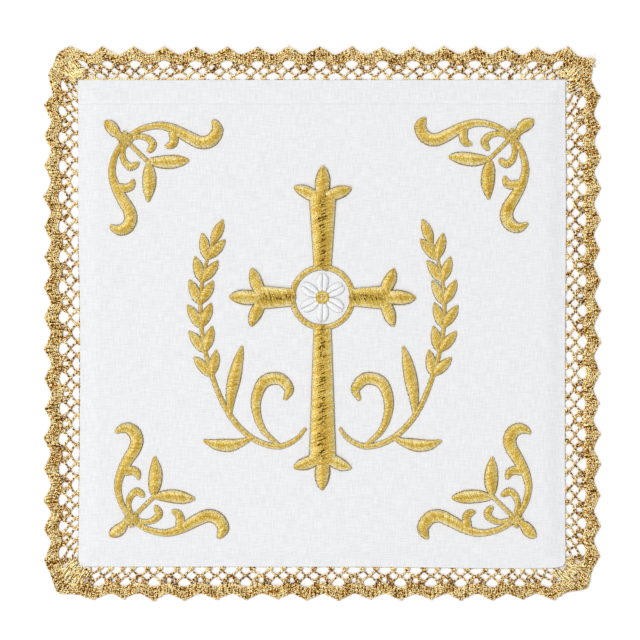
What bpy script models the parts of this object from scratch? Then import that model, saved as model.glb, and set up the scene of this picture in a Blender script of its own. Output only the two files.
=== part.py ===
"""A square linen chalice pall with a gold bobbin-lace edging and raised gold embroidery.

It lies flat on its back. The origin is under the middle of it, +X runs to the right of the
embroidered face, +Y towards its top hem, and +Z up out of that face. Lengths are in metres.
"""
import math

import bmesh
import bpy
from mathutils import Vector

MM = 0.001

# Driving sizes
LINEN_SIDE = 152.4 * MM
LINEN_THICK = 1.6 * MM
PIECE_GAP = 0.3 * MM
LACE_THICK = 1.0 * MM
LACE_REACH_X = 87.0 * MM
LACE_REACH_Y = 86.5 * MM
EMBROIDERY_BASE = LINEN_THICK + PIECE_GAP

# Linen: hem, crease and puckers
HEM_WIDTH = 7.4 * MM
HEM_STEP = 1.0 * MM
HEM_RAISE = 0.25 * MM
RIM_ROLL = 0.45 * MM
ON_RIM = 0.01 * MM
CREASE_BELOW_TOP = 28.4 * MM
CREASE_HALF_WIDTH = 0.7 * MM
CREASE_DEPTH = 0.18 * MM
CREASE_START = 35.0 * MM
CREASE_FADE = 10.0 * MM
PUCKER_REACH = 13.0 * MM
PUCKER_DEPTH = 0.3 * MM
PUCKER_PITCH = 5.2 * MM
PUCKER_BANDS = (  # centre and half width below the top edge, in mm, with the share of the full depth
    {"edge": "left", "centre": 41.5, "half": 8.0, "share": 1.0},
    {"edge": "left", "centre": 96.0, "half": 8.5, "share": 0.8},
    {"edge": "right", "centre": 37.0, "half": 9.0, "share": 0.6},
    {"edge": "right", "centre": 88.0, "half": 9.0, "share": 0.5},
)
EDGE_BOW = (  # how far each side edge stands in from the square, in mm, at a share of the way down
    {"down": 0.0, "left": -0.4, "right": 0.0},
    {"down": 0.25, "left": -0.4, "right": 0.25},
    {"down": 0.52, "left": 0.2, "right": 0.3},
    {"down": 0.72, "left": 0.1, "right": 0.5},
    {"down": 1.0, "left": -0.3, "right": 0.0},
)
LOWER_EDGE = (  # how far the lower edge hangs past the square, in mm, at a share of the way across
    {"across": 0.0, "hang": 0.0},
    {"across": 0.55, "hang": 0.0},
    {"across": 0.92, "hang": 0.75},
    {"across": 1.0, "hang": 0.5},
)
UPPER_CORNER = (1.3 * MM, 1.1 * MM)
LOWER_CORNER = (4.0 * MM, 2.4 * MM)
COLUMN_STEPS = (0.0, 1.3, 4.0, 8.5, 13.0, 35.0, 45.0, 76.2, 107.0, 139.4, 143.9, 148.4, 151.1, 152.4)
ROW_STEPS = (0.0, 1.1, 4.0, 7.4, 8.4, 20.0, 27.7, 28.4, 29.1, 33.5, 36.1, 38.7, 41.3, 43.9, 46.5, 49.5,
             68.0, 87.5, 90.1, 92.7, 95.3, 97.9, 100.5, 104.5, 128.0, 150.0, 151.3, 152.4)

# Lace: one scallop is one repeat, counted clockwise from the top left
LACE_SIDES = (  # each side's first and last scallop tip, in mm from the middle, and how far out its notches reach
    {"name": "top", "tips": 17, "first": -78.6, "last": 77.0, "notch": 0.72},
    {"name": "right", "tips": 16, "first": 70.9, "last": -73.1, "notch": 0.765},
    {"name": "bottom", "tips": 16, "first": 72.3, "last": -72.0, "notch": 0.76},
    {"name": "left", "tips": 17, "first": -74.2, "last": 77.5, "notch": 0.76},
)
LACE_CORNERS = (  # the gathered clump after each side, in mm, and how far out the notches beside it reach
    {"x": 84.3, "y": 82.3, "notch_before": 0.86, "notch_after": 0.80},
    {"x": 83.0, "y": -83.2, "notch_before": 0.88, "notch_after": 0.85},
    {"x": -83.0, "y": -84.6, "notch_before": 0.88, "notch_after": 0.95},
    {"x": -82.6, "y": 84.6, "notch_before": 0.97, "notch_after": 0.97},
)
SCALLOP = (  # one scallop's outline: share of the repeat past its tip, share of the full depth
    {"past": 0.0, "out": 1.0},
    {"past": 0.11, "out": 0.97},
    {"past": 0.36, "out": 0.77},
    {"past": 0.5, "out": 0.72},
    {"past": 0.64, "out": 0.77},
    {"past": 0.89, "out": 0.97},
)
NOTCH = 0.72
FOOT_INSET = 4.2 * MM
FOOT_GATHER_FROM = 50.0 * MM
FOOT_GATHER = 0.1
TIP_UNEVEN = 0.45 * MM
TIP_SHIFT = 0.3 * MM
FULL_TIP_EVERY = 5
FULL_TIP_FIRST = 2
EYELET = {"out": 0.42, "half_along": 0.185, "half_out": 0.155, "points": 8}
FOOT_GAP = {"out": 0.145, "half_along": 0.2, "half_out": 0.085, "points": 6}
HOLE_UNEVEN = 0.1

# Embroidery: the domed section of a stroke, by half its width, and the height it rises to.
# A stroke's table has a row for each place along it: across, along and its width there, in mm.
DOME_SECTION = ((-1.0, 0.0), (-0.72, 0.62), (0.0, 1.0), (0.72, 0.62), (1.0, 0.0))
DOME_RISE = 0.30
WIDE_DOME_RISE = 0.20

# Corner scroll: from the knot, u runs along the top edge and v down the side edge, in mm
SCROLL_KNOTS = (  # the knot of each corner's scroll, in mm from the middle, and the way it opens
    {"name": "tl", "x": -61.7, "y": 57.5, "open_x": 1.0, "open_y": -1.0},
    {"name": "tr", "x": 59.3, "y": 58.4, "open_x": -1.0, "open_y": -1.0},
    {"name": "bl", "x": -59.8, "y": -61.4, "open_x": 1.0, "open_y": 1.0},
    {"name": "br", "x": 60.3, "y": -61.4, "open_x": -1.0, "open_y": 1.0},
)
SCROLL_ARM = ((0.2, -0.2, 1.7), (5.0, -3.0, 2.0), (10.6, -4.2, 2.4), (15.4, -3.0, 3.2), (19.8, -0.6, 4.0),
              (23.8, 1.1, 4.3), (27.0, 0.3, 4.4), (28.8, -2.5, 4.0), (28.3, -4.4, 2.9), (27.4, -5.7, 1.2))
SCROLL_SIDE_ARM = ((0.2, -0.2, 1.7), (5.0, -3.0, 2.0), (10.2, -4.1, 2.4), (14.8, -3.0, 3.1), (18.9, -0.8, 3.8),
                   (22.0, 1.1, 4.2), (24.8, 1.8, 4.4), (27.3, 0.8, 4.4), (28.5, -1.3, 3.7), (28.1, -3.3, 2.5),
                   (27.2, -4.6, 1.2))
SCROLL_CURL = ((1.6, 0.0, 1.4), (4.6, -0.8, 1.8), (7.2, -0.1, 2.2), (8.7, 1.6, 2.6), (8.1, 3.2, 2.3),
               (7.3, 4.0, 1.2))
SCROLL_SPUR = ((15.4, -2.3, 3.6), (15.3, -0.9, 3.1), (15.3, 0.6, 2.9), (14.5, 1.9, 2.7), (12.8, 2.5, 1.2))
SCROLL_LEAF = ((7.6, 6.9, 1.2), (8.8, 7.1, 2.7), (10.8, 7.3, 3.9), (13.5, 7.2, 4.6), (16.2, 6.9, 4.1),
               (18.2, 6.7, 2.7), (19.7, 6.6, 1.1))
SCROLL_SIDE_LEAF = ((7.6, 7.1, 1.2), (8.9, 7.3, 3.0), (11.3, 7.5, 4.4), (14.0, 7.6, 4.6), (16.6, 7.5, 3.4),
                    (19.4, 7.3, 1.1))
SCROLL_STEM = ((0.0, 0.0, 1.4), (3.8, 3.9, 1.4), (7.6, 7.5, 1.4))
SCROLL_BUD = ((-6.3, -5.2, 1.2), (-5.4, -4.5, 3.1), (-4.25, -3.6, 4.1), (-3.1, -2.5, 3.7), (-2.05, -1.35, 2.5),
              (0.3, 0.4, 2.6), (1.5, 1.4, 1.6))

# Centre motif: a cross on a ring, in mm from the middle of the ring
RING_CENTRE = Vector((0.0, 8.0, 0.0)) * MM
RING_RADIUS = 9.4 * MM
RING_WIDTH = 1.9 * MM
RING_POINTS = 26
CROSS_ARMS = (  # one row an arm: the way it points, where its satin ends and its widths, in mm
    {"x": 0.0, "y": 1.0, "end": 31.5, "inner": 5.6, "outer": 8.6},
    {"x": 1.0, "y": 0.0, "end": 19.5, "inner": 5.6, "outer": 7.6},
    {"x": -1.0, "y": 0.0, "end": 19.5, "inner": 5.6, "outer": 7.6},
    {"x": 0.0, "y": -1.0, "end": 50.5, "inner": 5.6, "outer": 8.6},
)
BUD_OVERLAP = 1.2
BUD_TIP = ((0.0, 0.0, 2.6), (0.0, 3.6, 4.6), (0.0, 6.6, 5.0), (0.0, 9.4, 3.4), (0.0, 11.2, 0.9))
BUD_SIDE = ((0.0, 1.2, 2.6), (2.8, 2.2, 4.0), (5.4, 3.3, 4.2), (7.6, 4.1, 2.6), (8.8, 4.5, 0.9))

# Flower in the ring
PETALS = 6
PETAL_REACH = 7.3 * MM
PETAL_OUTLINE = (  # one petal: share of its turn round the flower, and share of its reach
    {"turn": 0.0, "out": 0.96},
    {"turn": 0.1, "out": 1.0},
    {"turn": 0.28, "out": 0.88},
    {"turn": 0.5, "out": 0.5},
    {"turn": 0.72, "out": 0.88},
    {"turn": 0.9, "out": 1.0},
)
FLOWER_THICK = 0.6 * MM
EYE_RADIUS = 2.45 * MM
EYE_HEIGHT = 0.9 * MM
EYE_TOP_SHARE = 0.55
EYE_SIDES = 20
EYE_HOLE_SHARE = 1.14

# Wheat spray: the right-hand one, in mm from the middle of the linen
WHEAT_STALK = ((5.4, -33.0, 1.2), (8.6, -36.6, 1.6), (14.5, -38.6, 1.9), (22.5, -35.6, 1.9),
               (29.5, -28.0, 1.8), (34.5, -16.5, 1.6), (37.6, -3.5, 1.4), (38.0, 9.0, 1.2),
               (36.0, 20.0, 1.0), (33.4, 27.0, 0.9))
STALK_STEPS = 12
GRAIN_FIRST = 0.56
GRAIN_LAST = 0.96
GRAIN_PAIRS = 6
GRAIN_LENGTH = 8.0
GRAIN_WIDTH = 3.6
GRAIN_LEAN = math.radians(27)
GRAIN_SECTION = ((0.0, 0.3), (0.35, 0.95), (0.7, 0.85), (1.0, 0.2))
WHEAT_SCROLLS = (
    ((13.5, -38.3, 1.3), (18.8, -33.0, 2.2), (20.8, -25.4, 3.2), (18.6, -18.8, 4.1), (13.6, -17.4, 4.1),
     (10.4, -20.6, 3.2), (11.6, -23.8, 1.3)),
    ((21.8, -35.7, 1.2), (25.4, -37.3, 2.8), (29.4, -38.2, 4.3), (33.4, -38.0, 3.4), (37.0, -36.8, 0.9)),
    ((28.9, -28.6, 1.2), (28.6, -23.0, 3.3), (27.6, -17.5, 4.4), (26.4, -12.0, 3.4), (25.2, -7.4, 0.9)),
)

LINEN_WHITE = (0.87, 0.88, 0.90)
STITCH_GOLD = (0.62, 0.43, 0.07)
LACE_GOLD = (0.58, 0.33, 0.08)
PETAL_WHITE = (0.92, 0.93, 0.94)


# Scene and materials

def clear_scene():
    for item in list(bpy.data.objects):
        bpy.data.objects.remove(item, do_unlink=True)


def new_collection(name):
    group = bpy.data.collections.new(name)
    bpy.context.scene.collection.children.link(group)
    return group


def cloth_material(name, colour, roughness, metallic):
    material = bpy.data.materials.new(name)
    material.use_nodes = True
    shader = material.node_tree.nodes["Principled BSDF"]
    shader.inputs["Base Color"].default_value = (*colour, 1.0)
    shader.inputs["Roughness"].default_value = roughness
    shader.inputs["Metallic"].default_value = metallic
    material.diffuse_color = (*colour, 1.0)
    return material


def add_object(name, data, group, material=None):
    item = bpy.data.objects.new(name, data)
    group.objects.link(item)
    if material:
        data.materials.append(material)
    return item


# Small sums

def eased(share):
    share = min(max(share, 0.0), 1.0)
    return share * share * (3.0 - 2.0 * share)


def table_value(rows, key, column, at):
    """Reads a column of a table at any place between two rows, easing from row to row."""
    for low, high in zip(rows, rows[1:]):
        if at <= high[key]:
            part = (at - low[key]) / (high[key] - low[key])
            return low[column] + (high[column] - low[column]) * eased(part)
    return rows[-1][column]


def uneven(number, kind):
    """A repeatable hand-made unevenness from -1 to 1 for one repeat and one kind of measure."""
    return math.sin(2.4 * number + 1.7 * kind) * math.cos(5.1 * number + 0.9 * kind)


def smooth_path(points, steps):
    """Runs a smooth curve through points of place and width, with a number of steps for each span."""
    ends = [points[0], *points, points[-1]]
    path = []
    for index in range(1, len(ends) - 2):
        before, start, stop, after = ends[index - 1:index + 3]
        for step in range(steps):
            part = step / steps
            path.append(tuple(
                0.5 * (2 * b + (c - a) * part + (2 * a - 5 * b + 4 * c - d) * part ** 2
                       + (3 * b - a - 3 * c + d) * part ** 3)
                for a, b, c, d in zip(before, start, stop, after)))
    path.append(tuple(points[-1]))
    return path


# Linen

def linen_point(across, down):
    """Places a point of the linen from its distances across and down the square, before its height."""
    half = LINEN_SIDE / 2
    corner_wide, corner_high = UPPER_CORNER if down < half else LOWER_CORNER
    from_side = min(across, LINEN_SIDE - across)
    from_end = min(down, LINEN_SIDE - down)
    if from_side < corner_wide and from_end < corner_high:
        a = 1.0 - from_side / corner_wide
        b = 1.0 - from_end / corner_high
        from_side = corner_wide * (1.0 - a * math.sqrt(1.0 - b * b / 2))
        from_end = corner_high * (1.0 - b * math.sqrt(1.0 - a * a / 2))
    across = from_side if across < half else LINEN_SIDE - from_side
    down = from_end if down < half else LINEN_SIDE - from_end
    share = down / LINEN_SIDE
    left = -half + table_value(EDGE_BOW, "down", "left", share) * MM
    right = half - table_value(EDGE_BOW, "down", "right", share) * MM
    x = left + (right - left) * across / LINEN_SIDE
    hang = table_value(LOWER_EDGE, "across", "hang", across / LINEN_SIDE) * MM
    return Vector((x, half - down - hang * eased(2.0 * share - 1.0), 0.0))


def linen_height(across, down):
    """The height of the face: the raised hem, the ironed crease, the puckers and the rolled rim."""
    height = LINEN_THICK
    height += HEM_RAISE * (1.0 - eased((down - HEM_WIDTH) / HEM_STEP))
    if across > CREASE_START and abs(down - CREASE_BELOW_TOP) < CREASE_HALF_WIDTH:
        height -= CREASE_DEPTH * eased((across - CREASE_START) / CREASE_FADE)
    for band in PUCKER_BANDS:
        inward = across if band["edge"] == "left" else LINEN_SIDE - across
        off = (down - band["centre"] * MM) / (band["half"] * MM)
        if inward < PUCKER_REACH and abs(off) < 1.0:
            fade = (1.0 - inward / PUCKER_REACH) * (1.0 - off * off)
            wave = 0.5 + 0.5 * math.cos(2 * math.pi * (down - band["centre"] * MM) / PUCKER_PITCH)
            height -= PUCKER_DEPTH * band["share"] * fade * wave
    if min(across, LINEN_SIDE - across, down, LINEN_SIDE - down) < ON_RIM:
        height -= RIM_ROLL
    return height


def build_linen(group, material):
    """A grid laid on the table's rows and columns, with its face raised and its back flat."""
    columns = [step * MM for step in COLUMN_STEPS]
    rows = [step * MM for step in ROW_STEPS]
    work = bmesh.new()
    bmesh.ops.create_grid(work, x_segments=len(columns) - 1, y_segments=len(rows) - 1, size=0.5)
    for vertex in work.verts:
        across = columns[round((vertex.co.x + 0.5) * (len(columns) - 1))]
        down = rows[round((0.5 - vertex.co.y) * (len(rows) - 1))]
        vertex.co = linen_point(across, down)
        vertex.co.z = linen_height(across, down)
    face_side = work.faces[:]
    made = bmesh.ops.extrude_face_region(work, geom=face_side, use_keep_orig=True)
    back_side = [item for item in made["geom"] if isinstance(item, bmesh.types.BMFace)]
    for item in made["geom"]:
        if isinstance(item, bmesh.types.BMVert):
            item.co.z = 0.0
    inner_edges = {edge for face in back_side for edge in face.edges
                   if all(link in back_side for link in edge.link_faces)}
    bmesh.ops.dissolve_edges(work, edges=list(inner_edges), use_verts=True)
    bmesh.ops.recalc_face_normals(work, faces=work.faces)
    mesh = bpy.data.meshes.new("linen_panel")
    work.to_mesh(mesh)
    work.free()
    add_object("linen_panel", mesh, group, material)


# Lace

def linen_rim():
    """The linen's outline, clockwise from its top left corner."""
    columns = [step * MM for step in COLUMN_STEPS]
    rows = [step * MM for step in ROW_STEPS]
    top = [linen_point(across, 0.0) for across in columns]
    right = [linen_point(LINEN_SIDE, down) for down in rows]
    bottom = [linen_point(across, LINEN_SIDE) for across in reversed(columns)]
    left = [linen_point(0.0, down) for down in reversed(rows)]
    return top[:-1] + right[:-1] + bottom[:-1] + left[:-1]


def offset_outline(points, distance):
    """Moves a clockwise outline outwards by a distance, corner by corner."""
    moved = []
    for index, point in enumerate(points):
        before = (point - points[index - 1]).normalized()
        after = (points[(index + 1) % len(points)] - point).normalized()
        outward_before = Vector((-before.y, before.x, 0.0))
        outward_after = Vector((-after.y, after.x, 0.0))
        middle = (outward_before + outward_after).normalized()
        moved.append(point + middle * distance / middle.dot(outward_before))
    return moved


def foot_along(along):
    """Where the lace is sewn, from where its tip is: it is gathered in towards the corners."""
    most = LINEN_SIDE / 2 - FOOT_INSET
    past = (abs(along) - FOOT_GATHER_FROM) / (LACE_REACH_X - FOOT_GATHER_FROM)
    pulled = abs(along) * (1.0 - FOOT_GATHER * eased(past))
    return math.copysign(min(pulled, most), along)


def lace_stations():
    """One station for each scallop and corner clump: its place at the foot, its tip and its notches."""
    half = LINEN_SIDE / 2
    stations = []
    for side_index, side in enumerate(LACE_SIDES):
        for tip in range(side["tips"]):
            number = len(stations)
            share = tip / (side["tips"] - 1)
            along = (side["first"] + (side["last"] - side["first"]) * share) * MM
            if 0 < tip < side["tips"] - 1:
                along += TIP_SHIFT * uneven(number, 1)
            full = tip % FULL_TIP_EVERY == FULL_TIP_FIRST
            short = 0.0 if full else TIP_UNEVEN * abs(uneven(number, 2))
            sewn = foot_along(along)
            if side["name"] == "top":
                foot = linen_point(sewn + half, 0.0)
                outer = Vector((along, LACE_REACH_Y - short, 0.0))
            elif side["name"] == "right":
                foot = linen_point(LINEN_SIDE, half - sewn)
                outer = Vector((LACE_REACH_X - short, along, 0.0))
            elif side["name"] == "bottom":
                foot = linen_point(sewn + half, LINEN_SIDE)
                outer = Vector((along, -LACE_REACH_Y + short, 0.0))
            else:
                foot = linen_point(0.0, half - sewn)
                outer = Vector((-LACE_REACH_X + short, along, 0.0))
            last = tip == side["tips"] - 1
            notch = LACE_CORNERS[side_index]["notch_before"] if last else side["notch"]
            stations.append({"foot": foot, "outer": outer, "notch": notch, "corner": False})
        corner = LACE_CORNERS[side_index]
        foot = linen_point(LINEN_SIDE if corner["x"] > 0 else 0.0, LINEN_SIDE if corner["y"] < 0 else 0.0)
        outer = Vector((corner["x"], corner["y"], 0.0)) * MM
        stations.append({"foot": foot, "outer": outer, "notch": corner["notch_after"], "corner": True})
    return stations


def lace_point(stations, place, out):
    """A point of the lace from its place in repeats round the edging and its share of the way out."""
    number = math.floor(place)
    part = place - number
    here = stations[number % len(stations)]
    following = stations[(number + 1) % len(stations)]
    foot = here["foot"].lerp(following["foot"], part)
    return foot.lerp(here["outer"].lerp(following["outer"], part), out)


def scallop_outline(stations):
    outline = []
    for number, station in enumerate(stations):
        for row in SCALLOP:
            depth = 1.0 - (1.0 - row["out"]) * (1.0 - station["notch"]) / (1.0 - NOTCH)
            outline.append(lace_point(stations, number + row["past"], depth))
    return outline


def hole_outline(stations, place, shape, size):
    """A rounded gap in the lace, long along the edging."""
    outline = []
    for step in range(shape["points"]):
        angle = 2 * math.pi * (step + 0.5) / shape["points"]
        along = place + shape["half_along"] * size * math.cos(angle)
        outline.append(lace_point(stations, along, shape["out"] + shape["half_out"] * size * math.sin(angle)))
    return outline


def add_outline(curve, points):
    spline = curve.splines.new("POLY")
    spline.points.add(len(points) - 1)
    for target, point in zip(spline.points, points):
        target.co = (point.x, point.y, 0.0, 1.0)
    spline.use_cyclic_u = True


def build_lace(group, material):
    """One flat ring: a scalloped outline, the linen's outline inside it, and the gaps cut through."""
    stations = lace_stations()
    curve = bpy.data.curves.new("lace_edging", "CURVE")
    curve.dimensions = "2D"
    curve.fill_mode = "BOTH"
    curve.extrude = LACE_THICK / 2
    add_outline(curve, scallop_outline(stations))
    add_outline(curve, offset_outline(linen_rim(), PIECE_GAP))
    for number, station in enumerate(stations):
        after = stations[(number + 1) % len(stations)]
        if not station["corner"]:
            add_outline(curve, hole_outline(stations, number, EYELET, 1.0 + HOLE_UNEVEN * uneven(number, 3)))
        if not station["corner"] and not after["corner"]:
            size = 1.0 + HOLE_UNEVEN * uneven(number, 4)
            add_outline(curve, hole_outline(stations, number + 0.5, FOOT_GAP, size))
    lace = add_object("lace_edging", curve, group, material)
    lace.location.z = LACE_THICK / 2


# Raised embroidery

def dome_profile(rise, group):
    """The section that a stroke is swept with: half its width is 1, and its base is flat."""
    curve = bpy.data.curves.new("stroke_section", "CURVE")
    curve.dimensions = "2D"
    curve.fill_mode = "NONE"
    add_outline(curve, [Vector((across, up * rise, 0.0)) for across, up in DOME_SECTION])
    profile = add_object(f"stroke_section_{round(rise * 100)}", curve, group)
    profile.hide_render = True
    profile.display_type = "WIRE"
    return profile


def swept_stroke(path, profile, closed=False):
    """Sweeps the domed section along a path of place and width, and returns it as a closed mesh."""
    curve = bpy.data.curves.new("stroke", "CURVE")
    curve.dimensions = "3D"
    curve.twist_mode = "Z_UP"
    curve.bevel_mode = "OBJECT"
    curve.bevel_object = profile
    curve.use_fill_caps = not closed
    spline = curve.splines.new("POLY")
    spline.points.add(len(path) - 1)
    for target, (x, y, width) in zip(spline.points, path):
        target.co = (x, y, EMBROIDERY_BASE, 1.0)
        target.radius = width / 2
    spline.use_cyclic_u = closed
    stroke = bpy.data.objects.new("stroke", curve)
    bpy.context.scene.collection.objects.link(stroke)
    bpy.context.view_layer.update()
    evaluated = stroke.evaluated_get(bpy.context.evaluated_depsgraph_get())
    mesh = bpy.data.meshes.new_from_object(evaluated)
    bpy.data.objects.remove(stroke, do_unlink=True)
    work = bmesh.new()
    work.from_mesh(mesh)
    bmesh.ops.remove_doubles(work, verts=work.verts, dist=0.001 * MM)
    bmesh.ops.recalc_face_normals(work, faces=work.faces)
    work.to_mesh(mesh)
    work.free()
    return mesh


def joined_strokes(name, meshes, group, cutter_group, material):
    """Joins strokes that cross each other into one solid."""
    motif = add_object(name, meshes[0], group, material)
    strokes = bpy.data.collections.new(f"{name}_strokes")
    cutter_group.children.link(strokes)
    for number, mesh in enumerate(meshes[1:]):
        stroke = add_object(f"{name}_stroke_{number}", mesh, strokes)
        stroke.hide_render = True
        stroke.display_type = "WIRE"
    union = motif.modifiers.new("join", "BOOLEAN")
    union.operation = "UNION"
    union.operand_type = "COLLECTION"
    union.collection = strokes


def placed(points, place):
    """Turns table rows of place and width in mm into metres with a function that places them."""
    rows = []
    for across, along, width in points:
        point = place(across, along)
        rows.append((point.x * MM, point.y * MM, width * MM))
    return rows


def build_corner_scroll(row, profile, group, cutter_group, material):
    def direct(u, v):
        return Vector((row["x"] + u * row["open_x"], row["y"] + v * row["open_y"]))

    def mirrored(u, v):
        return direct(v, u)

    meshes = []
    for points in (SCROLL_ARM, SCROLL_CURL, SCROLL_SPUR, SCROLL_LEAF):
        meshes.append(swept_stroke(placed(points, direct), profile))
    for points in (SCROLL_SIDE_ARM, SCROLL_CURL, SCROLL_SPUR, SCROLL_SIDE_LEAF):
        meshes.append(swept_stroke(placed(points, mirrored), profile))
    for points in (SCROLL_STEM, SCROLL_BUD):
        meshes.append(swept_stroke(placed(points, direct), profile))
    joined_strokes(f"corner_scroll_{row['name']}", meshes, group, cutter_group, material)


def build_cross(profile, wide_profile, group, cutter_group, material):
    """Four widening arms on a ring, each ending in three buds."""
    centre = RING_CENTRE / MM
    ring = []
    for step in range(RING_POINTS):
        angle = 2 * math.pi * step / RING_POINTS
        ring.append((RING_CENTRE.x + RING_RADIUS * math.cos(angle),
                     RING_CENTRE.y + RING_RADIUS * math.sin(angle), RING_WIDTH))
    meshes = [swept_stroke(ring, profile, closed=True)]
    for arm in CROSS_ARMS:
        def outward(across, along, arm=arm):
            return Vector((centre.x + arm["x"] * along + arm["y"] * across,
                           centre.y + arm["y"] * along - arm["x"] * across))

        start = RING_RADIUS / MM
        satin = ((0.0, start, arm["inner"]), (0.0, arm["end"], arm["outer"]))
        meshes.append(swept_stroke(placed(satin, outward), wide_profile))
        for sign in (0, -1, 1):
            table = BUD_SIDE if sign else BUD_TIP
            bud = [(across * sign if sign else across, arm["end"] - BUD_OVERLAP + along, width)
                   for across, along, width in table]
            meshes.append(swept_stroke(placed(bud, outward), profile))
    joined_strokes("centre_cross", meshes, group, cutter_group, material)


def build_wheat(side, profile, group, cutter_group, material):
    """A stalk with scrolls and leaves at its foot and paired grains up its ear."""
    sign = 1.0 if side == "right" else -1.0

    def place(x, y):
        return Vector((x * sign, y))

    meshes = [swept_stroke(placed(WHEAT_STALK, place), profile)]
    for points in WHEAT_SCROLLS:
        meshes.append(swept_stroke(placed(points, place), profile))
    fine = smooth_path(WHEAT_STALK, STALK_STEPS)
    for pair in range(GRAIN_PAIRS + 1):
        share = GRAIN_FIRST + (GRAIN_LAST - GRAIN_FIRST) * pair / GRAIN_PAIRS
        index = round(share * (len(fine) - 2))
        root = Vector(fine[index][:2])
        heading = math.atan2(fine[index + 1][1] - fine[index][1], fine[index + 1][0] - fine[index][0])
        leans = (-GRAIN_LEAN, GRAIN_LEAN) if pair < GRAIN_PAIRS else (0.0,)
        for lean in leans:
            aim = Vector((math.cos(heading + lean), math.sin(heading + lean)))
            grain = [(root.x + aim.x * part * GRAIN_LENGTH, root.y + aim.y * part * GRAIN_LENGTH,
                      thick * GRAIN_WIDTH) for part, thick in GRAIN_SECTION]
            meshes.append(swept_stroke(placed(grain, place), profile))
    joined_strokes(f"wheat_spray_{side}", meshes, group, cutter_group, material)


def round_flower(angle, radius):
    return RING_CENTRE + Vector((math.cos(angle), math.sin(angle), 0.0)) * radius


def build_flower(group, petal_material, eye_material):
    """Six notched petals in one flat rosette round an open middle, and the eye that sits in it."""
    outline = []
    for petal in range(PETALS):
        for row in PETAL_OUTLINE:
            angle = 2 * math.pi * (petal + row["turn"]) / PETALS + math.pi / 2
            outline.append(round_flower(angle, PETAL_REACH * row["out"]))
    hole_radius = EYE_RADIUS * EYE_HOLE_SHARE
    hole = [round_flower(2 * math.pi * step / EYE_SIDES, hole_radius) for step in range(EYE_SIDES)]
    curve = bpy.data.curves.new("flower_petals", "CURVE")
    curve.dimensions = "2D"
    curve.fill_mode = "BOTH"
    curve.extrude = FLOWER_THICK / 2
    add_outline(curve, outline)
    add_outline(curve, hole)
    petals = add_object("flower_petals", curve, group, petal_material)
    petals.location.z = EMBROIDERY_BASE + FLOWER_THICK / 2
    work = bmesh.new()
    bmesh.ops.create_cone(work, cap_ends=True, segments=EYE_SIDES, radius1=EYE_RADIUS,
                          radius2=EYE_RADIUS * EYE_TOP_SHARE, depth=EYE_HEIGHT)
    mesh = bpy.data.meshes.new("flower_eye")
    work.to_mesh(mesh)
    work.free()
    eye = add_object("flower_eye", mesh, group, eye_material)
    eye.location = RING_CENTRE + Vector((0.0, 0.0, EMBROIDERY_BASE + EYE_HEIGHT / 2))


def main():
    clear_scene()
    parts = new_collection("chalice_pall")
    cutters = new_collection("sections_and_strokes")
    linen = cloth_material("linen", LINEN_WHITE, 0.85, 0.0)
    gold = cloth_material("gold_stitch", STITCH_GOLD, 0.42, 0.35)
    lace_gold = cloth_material("gold_lace", LACE_GOLD, 0.38, 0.5)
    white = cloth_material("white_stitch", PETAL_WHITE, 0.6, 0.0)
    build_linen(parts, linen)
    build_lace(parts, lace_gold)
    profile = dome_profile(DOME_RISE, cutters)
    wide_profile = dome_profile(WIDE_DOME_RISE, cutters)
    for row in SCROLL_KNOTS:
        build_corner_scroll(row, profile, parts, cutters, gold)
    build_cross(profile, wide_profile, parts, cutters, gold)
    for side in ("left", "right"):
        build_wheat(side, profile, parts, cutters, gold)
    build_flower(parts, white, gold)


main()
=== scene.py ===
# A square linen pall with a gold lace edging, satin-stitched corner scrolls
# and a budded cross between two ears of wheat. It lies face up on a pale floor.
import math

import bmesh
import bpy
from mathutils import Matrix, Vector, noise


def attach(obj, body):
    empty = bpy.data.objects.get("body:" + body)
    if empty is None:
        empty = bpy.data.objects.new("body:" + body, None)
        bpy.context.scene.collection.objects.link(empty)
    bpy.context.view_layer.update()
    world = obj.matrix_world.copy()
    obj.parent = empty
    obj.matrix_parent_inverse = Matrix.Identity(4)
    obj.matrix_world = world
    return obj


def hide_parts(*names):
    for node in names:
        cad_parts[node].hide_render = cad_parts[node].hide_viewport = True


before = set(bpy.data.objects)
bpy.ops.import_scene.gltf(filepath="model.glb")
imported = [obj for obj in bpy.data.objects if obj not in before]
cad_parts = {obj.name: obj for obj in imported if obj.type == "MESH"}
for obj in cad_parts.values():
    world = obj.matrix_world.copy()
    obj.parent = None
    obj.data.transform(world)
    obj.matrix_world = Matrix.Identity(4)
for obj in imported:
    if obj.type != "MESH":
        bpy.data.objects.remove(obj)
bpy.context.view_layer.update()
mm = 0.001
middleGrey = (0.5, 0.5, 0.5)
partCollection = bpy.data.collections.new("pallFinish")
bpy.context.scene.collection.children.link(partCollection)


# Small helpers

def table(names, *rows):
    # rows of values, under one name for each column
    return [dict(zip(names.split(), row)) for row in rows]


def eased(share):
    share = min(max(share, 0.0), 1.0)
    return share * share * (3.0 - 2.0 * share)


def readTable(rows, key, column, at):
    for low, high in zip(rows, rows[1:]):
        if at <= high[key]:
            part = (at - low[key]) / (high[key] - low[key])
            return low[column] + (high[column] - low[column]) * eased(part)
    return rows[-1][column]


def uneven(number, kind):
    # hand-made unevenness from -1 to 1, the same on every run
    return math.sin(2.4 * number + 1.7 * kind) * math.cos(5.1 * number + 0.9 * kind)


def smoothPath(rows, steps):
    # a Catmull-Rom curve through rows of numbers
    ends = [rows[0], *rows, rows[-1]]
    path = []
    for index in range(1, len(ends) - 2):
        before, start, stop, after = ends[index - 1:index + 3]
        for step in range(steps):
            part = step / steps
            path.append(tuple(
                0.5 * (2 * b + (c - a) * part + (2 * a - 5 * b + 4 * c - d) * part ** 2
                       + (3 * b - a - 3 * c + d) * part ** 3)
                for a, b, c, d in zip(before, start, stop, after)))
    path.append(tuple(rows[-1]))
    return path


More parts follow.
